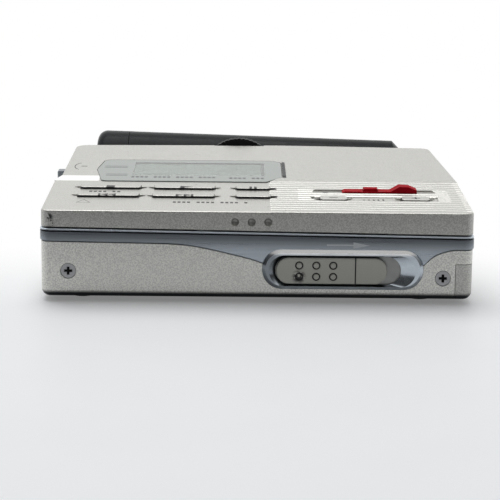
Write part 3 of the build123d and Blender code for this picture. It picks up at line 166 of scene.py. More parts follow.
def add_noise(tree, coords, scale, detail=4.0, stretch=(1.0, 1.0, 1.0)):
    """A noise texture's factor on object coordinates, stretched along the axes."""
    mapping = tree.nodes.new("ShaderNodeMapping")
    mapping.inputs["Scale"].default_value = stretch
    tree.links.new(coords, mapping.inputs["Vector"])
    noise = tree.nodes.new("ShaderNodeTexNoise")
    noise.inputs["Scale"].default_value = scale
    noise.inputs["Detail"].default_value = detail
    tree.links.new(mapping.outputs["Vector"], noise.inputs["Vector"])
    return noise.outputs["Fac"]


def add_ramp(tree, value, start, end, first, last):
    """A smooth remap of a value to the range from first to last."""
    ramp = tree.nodes.new("ShaderNodeMapRange")
    ramp.interpolation_type = "SMOOTHSTEP"
    for socket, number in (("From Min", start), ("From Max", end), ("To Min", first), ("To Max", last)):
        ramp.inputs[socket].default_value = number
    tree.links.new(value, ramp.inputs["Value"])
    return ramp.outputs["Result"]


def add_mix(tree, factor, first, second):
    """A mix of two colours, each a colour or a socket, by a factor socket."""
    mix = tree.nodes.new("ShaderNodeMix")
    mix.data_type = "RGBA"
    tree.links.new(factor, mix.inputs["Factor"])
    for socket, colour in ((mix.inputs[6], first), (mix.inputs[7], second)):
        if isinstance(colour, bpy.types.NodeSocket):
            tree.links.new(colour, socket)
        else:
            socket.default_value = (*colour, 1.0)
    return mix.outputs[2]


def add_bump(tree, shader, height, strength, distance):
    """A bump on the shader from a height socket."""
    bump = tree.nodes.new("ShaderNodeBump")
    bump.inputs["Strength"].default_value = strength
    bump.inputs["Distance"].default_value = distance
    tree.links.new(height, bump.inputs["Height"])
    tree.links.new(bump.outputs["Normal"], shader.inputs["Normal"])


def darker(colour, factor):
    """A colour made darker or lighter by a factor."""
    return tuple(min(1.0, channel * factor) for channel in colour)


def add_math(tree, operation, first, second):
    """A math node on two values, each a number or a socket."""
    node = tree.nodes.new("ShaderNodeMath")
    node.operation = operation
    for socket, value in zip(node.inputs, (first, second)):
        if isinstance(value, bpy.types.NodeSocket):
            tree.links.new(value, socket)
        else:
            socket.default_value = value
    return node.outputs["Value"]


def add_spots(tree, coords, places, radius):
    """A mask that is one near any of several places and fades out at a radius."""
    total = 0.0
    for place in places:
        distance = tree.nodes.new("ShaderNodeVectorMath")
        distance.operation = "DISTANCE"
        distance.inputs[1].default_value = place
        tree.links.new(coords, distance.inputs[0])
        near = add_ramp(tree, distance.outputs["Value"], 0.35 * radius, radius, 1.0, 0.0)
        total = add_math(tree, "MAXIMUM", near, total)
    return total


def flake_colour(tree, coords, base):
    """The grainy colour of metallic paint: bright and dark flakes over faint blotches."""
    flakes = add_ramp(tree, add_noise(tree, coords, 4200.0, 3.0), 0.36, 0.64, 0.0, 1.0)
    blotches = add_ramp(tree, add_noise(tree, coords, 420.0), 0.35, 0.7, 0.0, 1.0)
    fine = add_mix(tree, flakes, darker(base, 0.72), darker(base, 1.28))
    broad = add_mix(tree, blotches, darker(base, 0.95), darker(base, 1.05))
    blend = tree.nodes.new("ShaderNodeMix")
    blend.data_type = "RGBA"
    blend.inputs["Factor"].default_value = 0.35
    tree.links.new(fine, blend.inputs[6])
    tree.links.new(broad, blend.inputs[7])
    return blend.outputs[2], flakes


def worn_places(tree, coords):
    """A mask of chips at the front left corner, a scuff on the case's front and rare specks."""
    near = add_spots(tree, coords, [spot(*place) for place in CHIPPED_CORNER], 0.9 * MM)
    scuff = add_spots(tree, coords, [spot(*place) for place in CASE_SCUFF], 0.4 * MM)
    speckle = add_ramp(tree, add_noise(tree, coords, 1700.0, 2.0), 0.50, 0.56, 0.0, 1.0)
    rare = add_ramp(tree, add_noise(tree, coords, 900.0, 1.0), 0.80, 0.83, 0.0, 1.0)
    chips = add_math(tree, "MAXIMUM", add_math(tree, "MULTIPLY", near, speckle), rare)
    return add_math(tree, "MAXIMUM", chips, add_ramp(tree, scuff, 0.3, 0.5, 0.0, 1.0))


def rib_grooves(tree, coords, height):
    """A mask of the grooves between the lid's ribs, without the walls of the two channels, for the painted
    shade there.
    """
    ribbed = add_field(tree, coords, spot(*RIBS_LOW), spot(*RIBS_HIGH), 0.2 * MM)
    sunk = add_ramp(tree, height, LID_TOP - 0.29 * MM, LID_TOP - 0.16 * MM, 1.0, 0.0)
    shallow = add_ramp(tree, height, LID_TOP - 0.55 * MM, LID_TOP - 0.45 * MM, 0.0, 1.0)
    channel_low = low("volume_down_key") - Vector((3.4, 0.2, 0.0)) * MM
    channel_high = Vector((high("volume_up_key").x + 3.4 * MM, high("record_slider").y + 0.3 * MM))
    channels = add_field(tree, coords, channel_low, channel_high, 0.1 * MM)
    grooves = add_math(tree, "MULTIPLY", ribbed, add_math(tree, "MULTIPLY", sunk, shallow))
    return add_math(tree, "MULTIPLY", grooves, add_ramp(tree, channels, 0.0, 1.0, 1.0, 0.0))


def silver_paint(name, tone=1.0):
    """Metallic silver paint with flakes and wear, a painted highlight on the bevelled step left of the
    display window, and painted shade in the dimples, in the rib grooves and on the underside.
    """
    base = darker(colours().silver, tone)
    material, tree, shader, coords = new_material(name, base, 0.68, 0.40)
    paint, flakes = flake_colour(tree, coords, base)
    split = tree.nodes.new("ShaderNodeSeparateXYZ")
    tree.links.new(coords, split.inputs["Vector"])
    height = split.outputs["Z"]
    dimples = add_spots(tree, coords, [spot(*place) for place in DIMPLES], 0.82 * MM)
    dimple_shade = add_ramp(tree, dimples, 0.02, 0.25, 0.0, 1.0)
    on_panel = add_ramp(tree, height, PANEL_TOP - 0.35 * MM, PANEL_TOP - 0.15 * MM, 0.0, 1.0)
    facet_highlight = add_field(tree, coords, spot(*FACET_LOW), spot(*FACET_HIGH), 0.35 * MM)
    layers = (
        # Painted shade: the dimples are painted darker, as shade in their hollows
        (dimple_shade, darker(base, 0.5)),
        # Painted highlight: the bevelled step left of the display window is painted near white
        (add_math(tree, "MULTIPLY", on_panel, facet_highlight), (0.97, 0.97, 0.95)),
        # Painted shade: the grooves between the ribs are painted nearly black
        (rib_grooves(tree, coords, height), darker(base, 0.12)),
        (worn_places(tree, coords), (0.05, 0.05, 0.05)),
        # Painted shade: the lowest two millimetres, the underside rounding, are painted near black
        (add_ramp(tree, height, 1.5 * MM, 2.3 * MM, 1.0, 0.0), (0.02, 0.022, 0.025)),
    )
    for mask, colour in layers:
        paint = add_mix(tree, mask, paint, colour)
    tree.links.new(paint, shader.inputs["Base Color"])
    tree.links.new(add_ramp(tree, flakes, 0.0, 1.0, 0.34, 0.46), shader.inputs["Roughness"])
    add_bump(tree, shader, add_noise(tree, coords, 4200.0, 3.0), 0.25, 0.02 * MM)
    return material


def key_paint(name, top):
    """Silver key top whose walls below a height are painted near black, as shade on the front wall and in the
    gap round the key.
    """
    base = tuple(colours().silver)
    material, tree, shader, coords = new_material(name, base, 0.6, 0.38)
    split = tree.nodes.new("ShaderNodeSeparateXYZ")
    tree.links.new(coords, split.inputs["Vector"])
    cap = add_ramp(tree, split.outputs["Z"], top - 0.07 * MM, top - 0.04 * MM, 0.0, 1.0)
    paint = flake_colour(tree, coords, base)[0]
    # Painted shade: below the split the key is painted near black and made non-metallic
    tree.links.new(add_mix(tree, cap, (0.012, 0.012, 0.013), paint), shader.inputs["Base Color"])
    tree.links.new(add_ramp(tree, cap, 0.0, 1.0, 0.0, 0.6), shader.inputs["Metallic"])
    add_bump(tree, shader, add_noise(tree, coords, 5200.0, 3.0), 0.2, 0.02 * MM)
    return material


def add_parting_height(tree, coords):
    """Height above the lower end of the band's sloping top edge, level along that edge."""
    split = tree.nodes.new("ShaderNodeSeparateXYZ")
    tree.links.new(coords, split.inputs["Vector"])
    return add_math(tree, "ADD", split.outputs["Z"], add_math(tree, "MULTIPLY", split.outputs["X"], 0.0119))


def band_metal():
    """Blue-grey satin metal of the waist band, with painted shade that darkens it towards its top and
    lightens it towards its lower edge, a painted highlight along its top edge and a painted shadow stripe
    just below that.
    """
    base = tuple(colours().band)
    material, tree, shader, coords = new_material("band_metal", base, 0.85, 0.34)
    streaks = add_noise(tree, coords, 900.0, 6.0, (0.06, 0.06, 3.0))
    factor = add_ramp(tree, streaks, 0.3, 0.7, 0.0, 1.0)
    height = add_parting_height(tree, coords)
    # Painted highlight: a bright stripe along the band's top edge
    lip_highlight = add_ramp(tree, height, 12.76 * MM, 12.84 * MM, 0.0, 1.0)
    # Painted shadow: a near black stripe just under the top edge, as shade in the seam
    groove_shadow = add_math(tree, "SUBTRACT", add_ramp(tree, height, 12.48 * MM, 12.54 * MM, 0.0, 1.0), lip_highlight)
    # Painted shade and light: the band is darker towards its top and paler towards its lower edge
    fade = add_ramp(tree, height, 9.4 * MM, 12.6 * MM, 1.0, 0.0)
    shade = add_mix(tree, fade, darker(base, 0.55), darker(base, 1.75))
    brushed_shade = tree.nodes.new("ShaderNodeMix")
    brushed_shade.data_type = "RGBA"
    brushed_shade.blend_type = "MULTIPLY"
    brushed_shade.inputs["Factor"].default_value = 1.0
    tree.links.new(add_mix(tree, factor, (0.88, 0.88, 0.88), (1.0, 1.0, 1.0)), brushed_shade.inputs[6])
    tree.links.new(shade, brushed_shade.inputs[7])
    edged = add_mix(tree, lip_highlight, brushed_shade.outputs[2], darker(base, 2.1))
    tree.links.new(add_mix(tree, groove_shadow, edged, (0.02, 0.022, 0.025)), shader.inputs["Base Color"])
    tree.links.new(add_ramp(tree, streaks, 0.3, 0.7, 0.26, 0.40), shader.inputs["Roughness"])
    add_bump(tree, shader, streaks, 0.08, 0.02 * MM)
    return material


def plated(name, base, roughness):
    """Bright plating with faint handling marks."""
    material, tree, shader, coords = new_material(name, base, 1.0, roughness)
    marks = add_noise(tree, coords, 420.0, 6.0, (1.0, 1.0, 2.5))
    tree.links.new(add_ramp(tree, marks, 0.4, 0.75, roughness, roughness + 0.16), shader.inputs["Roughness"])
    colour = add_mix(tree, add_ramp(tree, marks, 0.3, 0.7, 0.0, 1.0), darker(base, 0.9), darker(base, 1.05))
    tree.links.new(colour, shader.inputs["Base Color"])
    add_bump(tree, shader, add_noise(tree, coords, 3000.0, 4.0), 0.05, 0.01 * MM)
    return material


def bezel_plating():
    """Bright plating with painted shade on the left and a painted highlight along the top, whose sunk floor
    is a duller grey.
    """
    base = tuple(colours().chrome)
    material, tree, shader, coords = new_material("bezel_chrome", base, 1.0, 0.16)
    split = tree.nodes.new("ShaderNodeSeparateXYZ")
    tree.links.new(coords, split.inputs["Vector"])
    sunk = low("open_slider").y + 0.88 * MM
    floor = add_ramp(tree, split.outputs["Y"], sunk, sunk + 0.06 * MM, 0.0, 1.0)
    marks = add_ramp(tree, add_noise(tree, coords, 420.0, 6.0, (1.0, 1.0, 2.5)), 0.35, 0.75, 0.0, 1.0)
    metal = add_mix(tree, marks, darker(base, 0.9), darker(base, 1.05))
    left = low("open_bezel").x
    # Painted shade: the left end of the ring is painted darker
    side = add_ramp(tree, split.outputs["X"], left + 1.6 * MM, left + 4.5 * MM, 1.0, 0.0)
    top = high("open_bezel").z
    # Painted highlight: the top of the ring is painted near white
    brow_highlight = add_ramp(tree, split.outputs["Z"], top - 1.2 * MM, top - 0.7 * MM, 0.0, 1.0)
    metal = add_mix(tree, brow_highlight, add_mix(tree, side, metal, darker(base, 0.4)), (0.95, 0.95, 0.94))
    tree.links.new(add_mix(tree, floor, metal, (0.36, 0.36, 0.35)), shader.inputs["Base Color"])
    dull = add_ramp(tree, floor, 0.0, 1.0, 0.14, 0.42)
    roughness = add_math(tree, "ADD", dull, add_math(tree, "MULTIPLY", marks, 0.1))
    tree.links.new(roughness, shader.inputs["Roughness"])
    add_bump(tree, shader, add_noise(tree, coords, 3000.0, 4.0), 0.05, 0.01 * MM)
    return material


def moulded(name, base, roughness=0.45, grain=2600.0, depth=0.02, shine=0.5, ior=1.5):
    """Moulded plastic with a fine grain and slight colour drift."""
    material, tree, shader, coords = new_material(name, base, 0.0, roughness)
    shader.inputs["Specular IOR Level"].default_value = shine
    shader.inputs["IOR"].default_value = ior
    drift = add_ramp(tree, add_noise(tree, coords, 240.0), 0.3, 0.7, 0.0, 1.0)
    tree.links.new(add_mix(tree, drift, darker(base, 0.92), darker(base, 1.08)), shader.inputs["Base Color"])
    rough = add_ramp(tree, add_noise(tree, coords, 700.0), 0.3, 0.7, roughness - 0.05, roughness + 0.07)
    tree.links.new(rough, shader.inputs["Roughness"])
    add_bump(tree, shader, add_noise(tree, coords, grain, 3.0), 0.25, depth * MM)
    return material


def worn_slider():
    """Beige-grey knob plastic with dirt gathered round the lower left dots, and painted shade on the knob's
    sunk floors.
    """
    base = tuple(colours().slider)
    material, tree, shader, coords = new_material("worn_slider", base, 0.1, 0.42)
    knob_low = low("open_slider")
    dirty = Vector((knob_low.x + 4.1 * MM, knob_low.y, knob_low.z + 1.35 * MM))
    near = add_spots(tree, coords, [dirty], 1.6 * MM)
    speckle = add_ramp(tree, add_noise(tree, coords, 1500.0, 3.0), 0.42, 0.52, 0.0, 1.0)
    dirt = add_math(tree, "MULTIPLY", near, speckle)
    flakes = add_ramp(tree, add_noise(tree, coords, 7000.0, 2.0), 0.35, 0.65, 0.0, 1.0)
    fine = add_mix(tree, flakes, darker(base, 0.93), darker(base, 1.07))
    split = tree.nodes.new("ShaderNodeSeparateXYZ")
    tree.links.new(coords, split.inputs["Vector"])
    # Painted shade: the knob's sunk floors, behind its face, are painted near black
    groove_shade = add_ramp(tree, split.outputs["Y"], knob_low.y + 0.34 * MM, knob_low.y + 0.42 * MM, 0.0, 1.0)
    knob_with_shade = add_mix(tree, groove_shade, fine, (0.02, 0.02, 0.018))
    tree.links.new(add_mix(tree, dirt, knob_with_shade, (0.012, 0.011, 0.010)), shader.inputs["Base Color"])
    add_bump(tree, shader, add_noise(tree, coords, 4200.0, 3.0), 0.2, 0.02 * MM)
    return material


def add_field(tree, coords, lowest, highest, blur):
    """A mask that is one inside an upright box in plan and fades out over a blur."""
    split = tree.nodes.new("ShaderNodeSeparateXYZ")
    tree.links.new(coords, split.inputs["Vector"])
    inside = 1.0
    for axis in (0, 1):
        value = split.outputs[axis]
        rise = add_ramp(tree, value, lowest[axis] - blur, lowest[axis], 0.0, 1.0)
        fall = add_ramp(tree, value, highest[axis], highest[axis] + blur, 1.0, 0.0)
        inside = add_math(tree, "MULTIPLY", add_math(tree, "MULTIPLY", rise, fall), inside)
    return inside


def clear_window():
    """Clear window with a pale print behind it that leaves the display field open, painted shade on the
    window's sides, and hairline scratches.
    """
    base = tuple(colours().window)
    material, tree, shader, coords = new_material("clear_window", base, 0.0, 0.08)
    field = add_field(tree, coords, spot(*DISPLAY_LOW), spot(*DISPLAY_HIGH), 0.15 * MM)
    height = tree.nodes.new("ShaderNodeSeparateXYZ")
    tree.links.new(coords, height.inputs["Vector"])
    top = high("display_window").z
    # Painted shade: the window's sides below its top are painted near black
    rim = add_ramp(tree, height.outputs["Z"], top - 0.08 * MM, top - 0.05 * MM, 0.0, 1.0)
    edged = add_mix(tree, rim, (0.02, 0.03, 0.028), darker(base, 0.50))
    tree.links.new(add_mix(tree, field, edged, base), shader.inputs["Base Color"])
    tree.links.new(field, shader.inputs["Transmission Weight"])
    shader.inputs["IOR"].default_value = 1.3
    scratches = add_noise(tree, coords, 500.0, 6.0, (0.15, 2.5, 1.0))
    tree.links.new(add_ramp(tree, scratches, 0.55, 0.75, 0.07, 0.2), shader.inputs["Roughness"])
    add_bump(tree, shader, scratches, 0.01, 0.01 * MM)
    return material


def display_glass():
    """Grey-green display cell with a darker active field."""
    material, tree, shader, coords = new_material("display_glass", (0.5, 0.55, 0.53), 0.0, 0.25)
    split = tree.nodes.new("ShaderNodeSeparateXYZ")
    tree.links.new(coords, split.inputs["Vector"])
    fade = add_ramp(tree, split.outputs["Y"], low("lcd_panel").y, high("lcd_panel").y, 0.0, 1.0)
    tree.links.new(add_mix(tree, fade, (0.27, 0.30, 0.265), (0.24, 0.27, 0.235)), shader.inputs["Base Color"])
    grain = add_noise(tree, coords, 2200.0, 2.0)
    tree.links.new(add_ramp(tree, grain, 0.3, 0.7, 0.2, 0.32), shader.inputs["Roughness"])
    return material


def coated_lens():
    """Blue-tinted lens glass."""
    material, tree, shader, coords = new_material("coated_lens", (0.35, 0.42, 0.75), 0.0, 0.05)
    shader.inputs["Transmission Weight"].default_value = 0.8
    tint = add_ramp(tree, add_noise(tree, coords, 300.0), 0.3, 0.7, 0.0, 1.0)
    tree.links.new(add_mix(tree, tint, (0.30, 0.36, 0.75), (0.45, 0.35, 0.72)), shader.inputs["Base Color"])
    return material


def brushed(name, base, stretch, roughness=0.3):
    """Brushed metal with fine lines along one direction."""
    material, tree, shader, coords = new_material(name, base, 1.0, roughness)
    lines = add_noise(tree, coords, 3600.0, 6.0, stretch)
    rough = add_ramp(tree, lines, 0.3, 0.7, roughness - 0.08, roughness + 0.14)
    tree.links.new(rough, shader.inputs["Roughness"])
    factor = add_ramp(tree, lines, 0.3, 0.7, 0.0, 1.0)
    tree.links.new(add_mix(tree, factor, darker(base, 0.94), darker(base, 1.05)), shader.inputs["Base Color"])
    add_bump(tree, shader, lines, 0.05, 0.01 * MM)
    return material


def screw_metal():
    """Brushed steel whose cross recesses in the front are painted near black as shade."""
    material = brushed("screw_steel", (0.42, 0.42, 0.43), (3.0, 3.0, 0.04), 0.36)
    tree = material.node_tree
    shader = tree.nodes["Principled BSDF"]
    metal = shader.inputs["Base Color"].links[0].from_socket
    split = tree.nodes.new("ShaderNodeSeparateXYZ")
    tree.links.new(tree.nodes.new("ShaderNodeTexCoord").outputs["Object"], split.inputs["Vector"])
    face = low("case_screws").y
    sunk = add_ramp(tree, split.outputs["Y"], face + 0.06 * MM, face + 0.16 * MM, 0.0, 1.0)
    upper = add_ramp(tree, split.outputs["Z"], 2.2 * MM, 2.5 * MM, 0.0, 1.0)
    # Painted shade: the recesses in the front screws are painted near black
    cross = add_math(tree, "MULTIPLY", sunk, upper)
    tree.links.new(add_mix(tree, cross, metal, (0.008, 0.008, 0.008)), shader.inputs["Base Color"])
    return material


def circuit_board():
    """Green solder mask with copper tracks showing through."""
    material, tree, shader, coords = new_material("circuit_board", (0.02, 0.16, 0.06), 0.0, 0.35)
    bricks = tree.nodes.new("ShaderNodeTexBrick")
    bricks.inputs["Scale"].default_value = 320.0
    bricks.inputs["Mortar Size"].default_value = 0.03
    bricks.inputs["Color1"].default_value = (0.015, 0.13, 0.05, 1.0)
    bricks.inputs["Color2"].default_value = (0.02, 0.16, 0.06, 1.0)
    bricks.inputs["Mortar"].default_value = (0.05, 0.28, 0.10, 1.0)
    tree.links.new(coords, bricks.inputs["Vector"])
    tree.links.new(bricks.outputs["Color"], shader.inputs["Base Color"])
    add_bump(tree, shader, bricks.outputs["Fac"], 0.2, 0.02 * MM)
    return material


def cell_sleeve(name, body, end, start, stop):
    """A cell's printed sleeve that changes colour along its length."""
    material, tree, shader, coords = new_material(name, body, 0.3, 0.3)
    split = tree.nodes.new("ShaderNodeSeparateXYZ")
    tree.links.new(coords, split.inputs["Vector"])
    change = add_ramp(tree, split.outputs["X"], start, stop, 0.0, 1.0)
    tree.links.new(add_mix(tree, change, end, body), shader.inputs["Base Color"])
    add_bump(tree, shader, add_noise(tree, coords, 900.0, 4.0), 0.06, 0.02 * MM)
    return material


def floor_surface():
    """Pale paper floor that brightens to white behind and mirrors as dark well in front of the recorder."""
    base = tuple(colours().floor)
    material, tree, shader, coords = new_material("floor_surface", base, 0.0, 0.5)
    split = tree.nodes.new("ShaderNodeSeparateXYZ")
    tree.links.new(coords, split.inputs["Vector"])
    path = tree.nodes.new("ShaderNodeLightPath")
    grain = add_ramp(tree, add_noise(tree, coords, 60.0), 0.3, 0.7, 0.0, 1.0)
    paper = add_mix(tree, grain, darker(base, 0.995), darker(base, 1.005))
    front = low("mid_frame").y
    away = add_ramp(tree, split.outputs["Y"], front - 58 * MM, front - 42 * MM, 1.0, 0.0)
    mirrored = add_math(tree, "MULTIPLY", away, path.outputs["Is Glossy Ray"])
    tree.links.new(add_mix(tree, mirrored, paper, (0.03, 0.035, 0.04)), shader.inputs["Base Color"])
    far = add_ramp(tree, split.outputs["Y"], -0.055, 0.005, 0.10, 1.0)
    behind = add_ramp(tree, split.outputs["Y"], 0.02, 0.12, 0.0, 1.0)
    glow = tree.nodes.new("ShaderNodeEmission")
    glow.inputs["Strength"].default_value = 1.0
    glow.inputs["Color"].default_value = (1.0, 1.0, 1.0, 1.0)
    seen = add_math(tree, "MULTIPLY", path.outputs["Is Camera Ray"], far)
    glossy = add_math(tree, "MULTIPLY", path.outputs["Is Glossy Ray"], behind)
    mix = tree.nodes.new("ShaderNodeMixShader")
    tree.links.new(add_math(tree, "MAXIMUM", seen, glossy), mix.inputs["Fac"])
    tree.links.new(shader.outputs["BSDF"], mix.inputs[1])
    tree.links.new(glow.outputs["Emission"], mix.inputs[2])
    tree.links.new(mix.outputs["Shader"], tree.nodes["Material Output"].inputs["Surface"])
    return material


def paint_node(node, material):
    """Gives a CAD node one material."""
    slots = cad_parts[node].data.materials
    slots.clear()
    slots.append(material)


# ---- Modelling helpers
def only(piece):
    """Makes one object the active and only selected one."""
    bpy.ops.object.select_all(action="DESELECT")
    piece.select_set(True)
    bpy.context.view_layer.objects.active = piece


def settle(piece):
    """Puts an object's place, turn and scale into its mesh."""
    only(piece)
    bpy.ops.object.transform_apply(location=True, rotation=True, scale=True)
    return piece


def bevelled_block(name, lowest, highest, bevel, segments=2):
    """A block between two corners with every edge bevelled."""
    lowest, highest = Vector(lowest), Vector(highest)
    bpy.ops.object.select_all(action="DESELECT")
    bpy.ops.mesh.primitive_cube_add(size=1.0, location=(lowest + highest) / 2)
    piece = bpy.context.object
    piece.name = name
    piece.scale = highest - lowest
    settle(piece)
    if bevel:
        bpy.ops.object.mode_set(mode="EDIT")
        bpy.ops.mesh.select_all(action="SELECT")
        bpy.ops.mesh.bevel(offset=bevel, segments=segments, affect="EDGES")
        bpy.ops.object.mode_set(mode="OBJECT")
    return piece


def disc(name, centre, radius, depth, vertices=24, turn=0.0):
    """An upright prism or disc round a centre, turned about Z."""
    bpy.ops.object.select_all(action="DESELECT")
    bpy.ops.mesh.primitive_cylinder_add(
        vertices=vertices, radius=radius, depth=depth, location=centre, rotation=(0.0, 0.0, turn))
    piece = bpy.context.object
    piece.name = name
    return settle(piece)


def joined(name, parts):
    """Several objects joined into one."""
    bpy.ops.object.select_all(action="DESELECT")
    for part in parts:
        part.select_set(True)
    bpy.context.view_layer.objects.active = parts[0]
    if len(parts) > 1:
        bpy.ops.object.join()
    piece = bpy.context.object
    piece.name = name
    piece.data.name = name
    return settle(piece)


def dress(piece, body, material):
    """Gives a piece its material and the body that it rides on."""
    piece.data.materials.clear()
    piece.data.materials.append(material)
    only(piece)
    bpy.ops.object.shade_smooth_by_angle(angle=radians(35))
    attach(piece, body)
    return piece


def printed(name, parts, body):
    """Joins printed marks and gives them the dark print finish."""
    finish = moulded("print_" + name, tuple(colours().print), 0.5)
    return dress(joined(name, parts), body, finish)


def centre_of(node):
    """Centre of a node's box in plan."""
    return (low(node) + high(node)) / 2


def bar(x, y, top, width, depth):
    """A small printed bar round a centre."""
    rise = sizes().print_thickness
    lowest = (x - width / 2, y - depth / 2, top - rise)
    return bevelled_block("bar", lowest, (x + width / 2, y + depth / 2, top + rise), 0)


def tick_row(ends, y, top):
    """A row of small dashes between two places along X, with a wider space after every fourth."""
    step = 1.6 * TICK_WIDTH
    ticks = []
    place = ends[0]
    while place < ends[1]:
        ticks.append(bar(*spot(place, y).xy, top, TICK_WIDTH * MM, TICK_DEPTH * MM))
        place += step * (2 if len(ticks) % 4 == 0 else 1)
    return ticks


def arrowhead(x, y, top, width, depth, turn):
    """A small printed triangle, pointing right at a turn of nought."""
    rise = sizes().print_thickness
    piece = disc("arrowhead", (0, 0, 0), 1.0, 2 * rise, 3, -pi / 2 + turn)
    piece.scale = (width / 1.5, depth / 1.732, 1.0)
    piece.location = (x, y, top)
    return settle(piece)


# ---- One operator for each piece or group of like pieces
class MakeKeySymbols(bpy.types.Operator):
    """Print the transport and volume symbols on the keys"""
    bl_idname = "recorder.key_symbols"
    bl_label = "Key symbols"

    def execute(self, context):
        depth = sizes().icon_height
        margin = 0.35 * MM + depth / 2
        place = {name: Vector((centre_of(name).x, low(name).y + margin)) for name in KEY_NODES}
        stop, play, pause = place["stop_key"], place["play_key"], place["pause_key"]
        printed("stop_symbol", [bar(stop.x, stop.y, KEY_TOP, 1.6 * MM, depth)], "stop_key")
        printed("play_symbol", [arrowhead(play.x, play.y, KEY_TOP, 2.4 * MM, depth * 1.1, 0.0)], "play_key")
        bars = [bar(pause.x + side * 0.45 * MM, pause.y, KEY_TOP, 0.5 * MM, depth) for side in (-1, 1)]
        printed("pause_symbol", bars, "pause_key")
        for name, side in (("back_key", -1), ("forward_key", 1)):
            key = place[name]
            turn = 0.0 if side > 0 else pi
            heads = [
                arrowhead(key.x + side * shift * MM, key.y, KEY_TOP, 1.6 * MM, depth, turn)
                for shift in (-0.9, 0.6)]
            end = bar(key.x + side * 1.65 * MM, key.y, KEY_TOP, 0.4 * MM, depth)
            printed(name.replace("_key", "_symbol"), heads + [end], name)
        for name in ("volume_down_key", "volume_up_key"):
            key = centre_of(name)
            strokes = [bar(key.x, key.y, VOLUME_TOP, 1.6 * MM, 0.32 * MM)]
            if name == "volume_up_key":
                strokes.append(bar(key.x, key.y, VOLUME_TOP, 0.32 * MM, 1.6 * MM))
            printed(name.replace("_key", "_symbol"), strokes, name)
        return {"FINISHED"}


class MakeLidMarks(bpy.types.Operator):
    """Print the small generic marks beside the keys and slider of the lid"""
    bl_idname = "recorder.lid_marks"
    bl_label = "Lid marks"

    def execute(self, context):
        rise = sizes().print_thickness
        bpy.ops.object.select_all(action="DESELECT")
        bpy.ops.mesh.primitive_torus_add(
            major_segments=3, minor_segments=4, major_radius=1.0 * MM, minor_radius=0.09 * MM,
            location=(*spot(*CORNER_TRIANGLE).xy, PANEL_TOP), rotation=(0.0, 0.0, pi / 2))
        triangle = bpy.context.object
        triangle.scale = (1.8, 1.45, 0.25)
        printed("corner_triangle", [settle(triangle)], "lid")
        bpy.ops.object.select_all(action="DESELECT")
        bpy.ops.mesh.primitive_torus_add(
            major_segments=48, minor_segments=6,
            major_radius=3.9 * MM, minor_radius=0.22 * MM, location=(0, 0, 0))
        arc = bpy.context.object
        bpy.ops.object.mode_set(mode="EDIT")
        bpy.ops.mesh.select_all(action="SELECT")
        bpy.ops.mesh.bisect(plane_co=(-1.4 * MM, 0, 0), plane_no=(1, 0, 0), clear_outer=True, use_fill=True)
        bpy.ops.object.mode_set(mode="OBJECT")
        arc.scale = (0.42, 1.0, 0.12)
        arc.location = (*spot(*SOCKET_ARC).xy, LID_TOP)
        dash = bar(*spot(*SOCKET_DASH).xy, LID_TOP, 1.2 * MM, 0.45 * MM)
        printed("socket_mark", [settle(arc), dash], "lid")
        printed("stop_key_ticks", tick_row(*STOP_TICKS, PANEL_TOP), "lid")
        printed("forward_key_ticks", tick_row(*FORWARD_TICKS, PANEL_TOP), "lid")
        channel = high("record_slider").z - 1.45 * MM
        volume = VOLUME_TOP - 0.45 * MM
        dot_place = (spot(RECORD_DOT_X, 0).x, centre_of("record_slider").y, channel - 0.1 * MM)
        dot = disc("dot", dot_place, 0.55 * MM, 2 * rise)
        printed("record_dot", [dot], "lid")
        wedge_y = centre_of("volume_up_key").y
        steps = []
        for number in range(5):
            place = spot(VOLUME_STEPS_X + 0.9 * number, 0).x
            steps.append(bar(place, wedge_y, volume, 0.35 * MM, (0.5 + 0.25 * number) * MM))
        printed("volume_steps", steps, "lid")
        return {"FINISHED"}


class MakeWindowMarks(bpy.types.Operator):
    """Print the row of small generic marks along the display window"""
    bl_idname = "recorder.window_marks"
    bl_label = "Window marks"

    def execute(self, context):
        rows = [tick for row in WINDOW_TICKS for tick in tick_row(*row, LID_TOP)]
        grey = moulded("print_window", (0.10, 0.11, 0.11), 0.5)
        dress(joined("window_ticks", rows), "lid", grey)
        frames = [
            bar(*spot(middle[0], middle[1] + side).xy, LID_TOP, width * MM, 0.18 * MM)
            for middle, width in WINDOW_FIELDS for side in (-0.7, 0.7)]
        dress(joined("window_frames", frames), "lid", grey)
        return {"FINISHED"}


class MakeOpenerArrow(bpy.types.Operator):
    """Raise the bright arrow above the open slider"""
    bl_idname = "recorder.opener_arrow"
    bl_label = "Opener arrow"

    def execute(self, context):
        front = low("mid_frame").y
        rise = 0.05 * MM
        height = 10.95 * MM
        shaft = bevelled_block("shaft", (spot(ARROW_SHAFT_X[0], 0).x, front - rise, height - 0.13 * MM),
                               (spot(ARROW_SHAFT_X[1], 0).x, front + rise, height + 0.13 * MM), 0.02 * MM, 1)
        head = disc("head", (0, 0, 0), 1.0, 2 * rise, 3, -pi / 2)
        head.scale = (3.0 * MM / 1.5, 1.15 * MM / 1.732, 1.0)
        head.rotation_euler = (pi / 2, 0.0, 0.0)
        head.location = (spot(ARROW_HEAD_X, 0).x, front, height)
        piece = joined("opener_arrow", [shaft, settle(head)])
        dress(piece, "base", plated("arrow_metal", (0.52, 0.54, 0.56), 0.3))
        return {"FINISHED"}


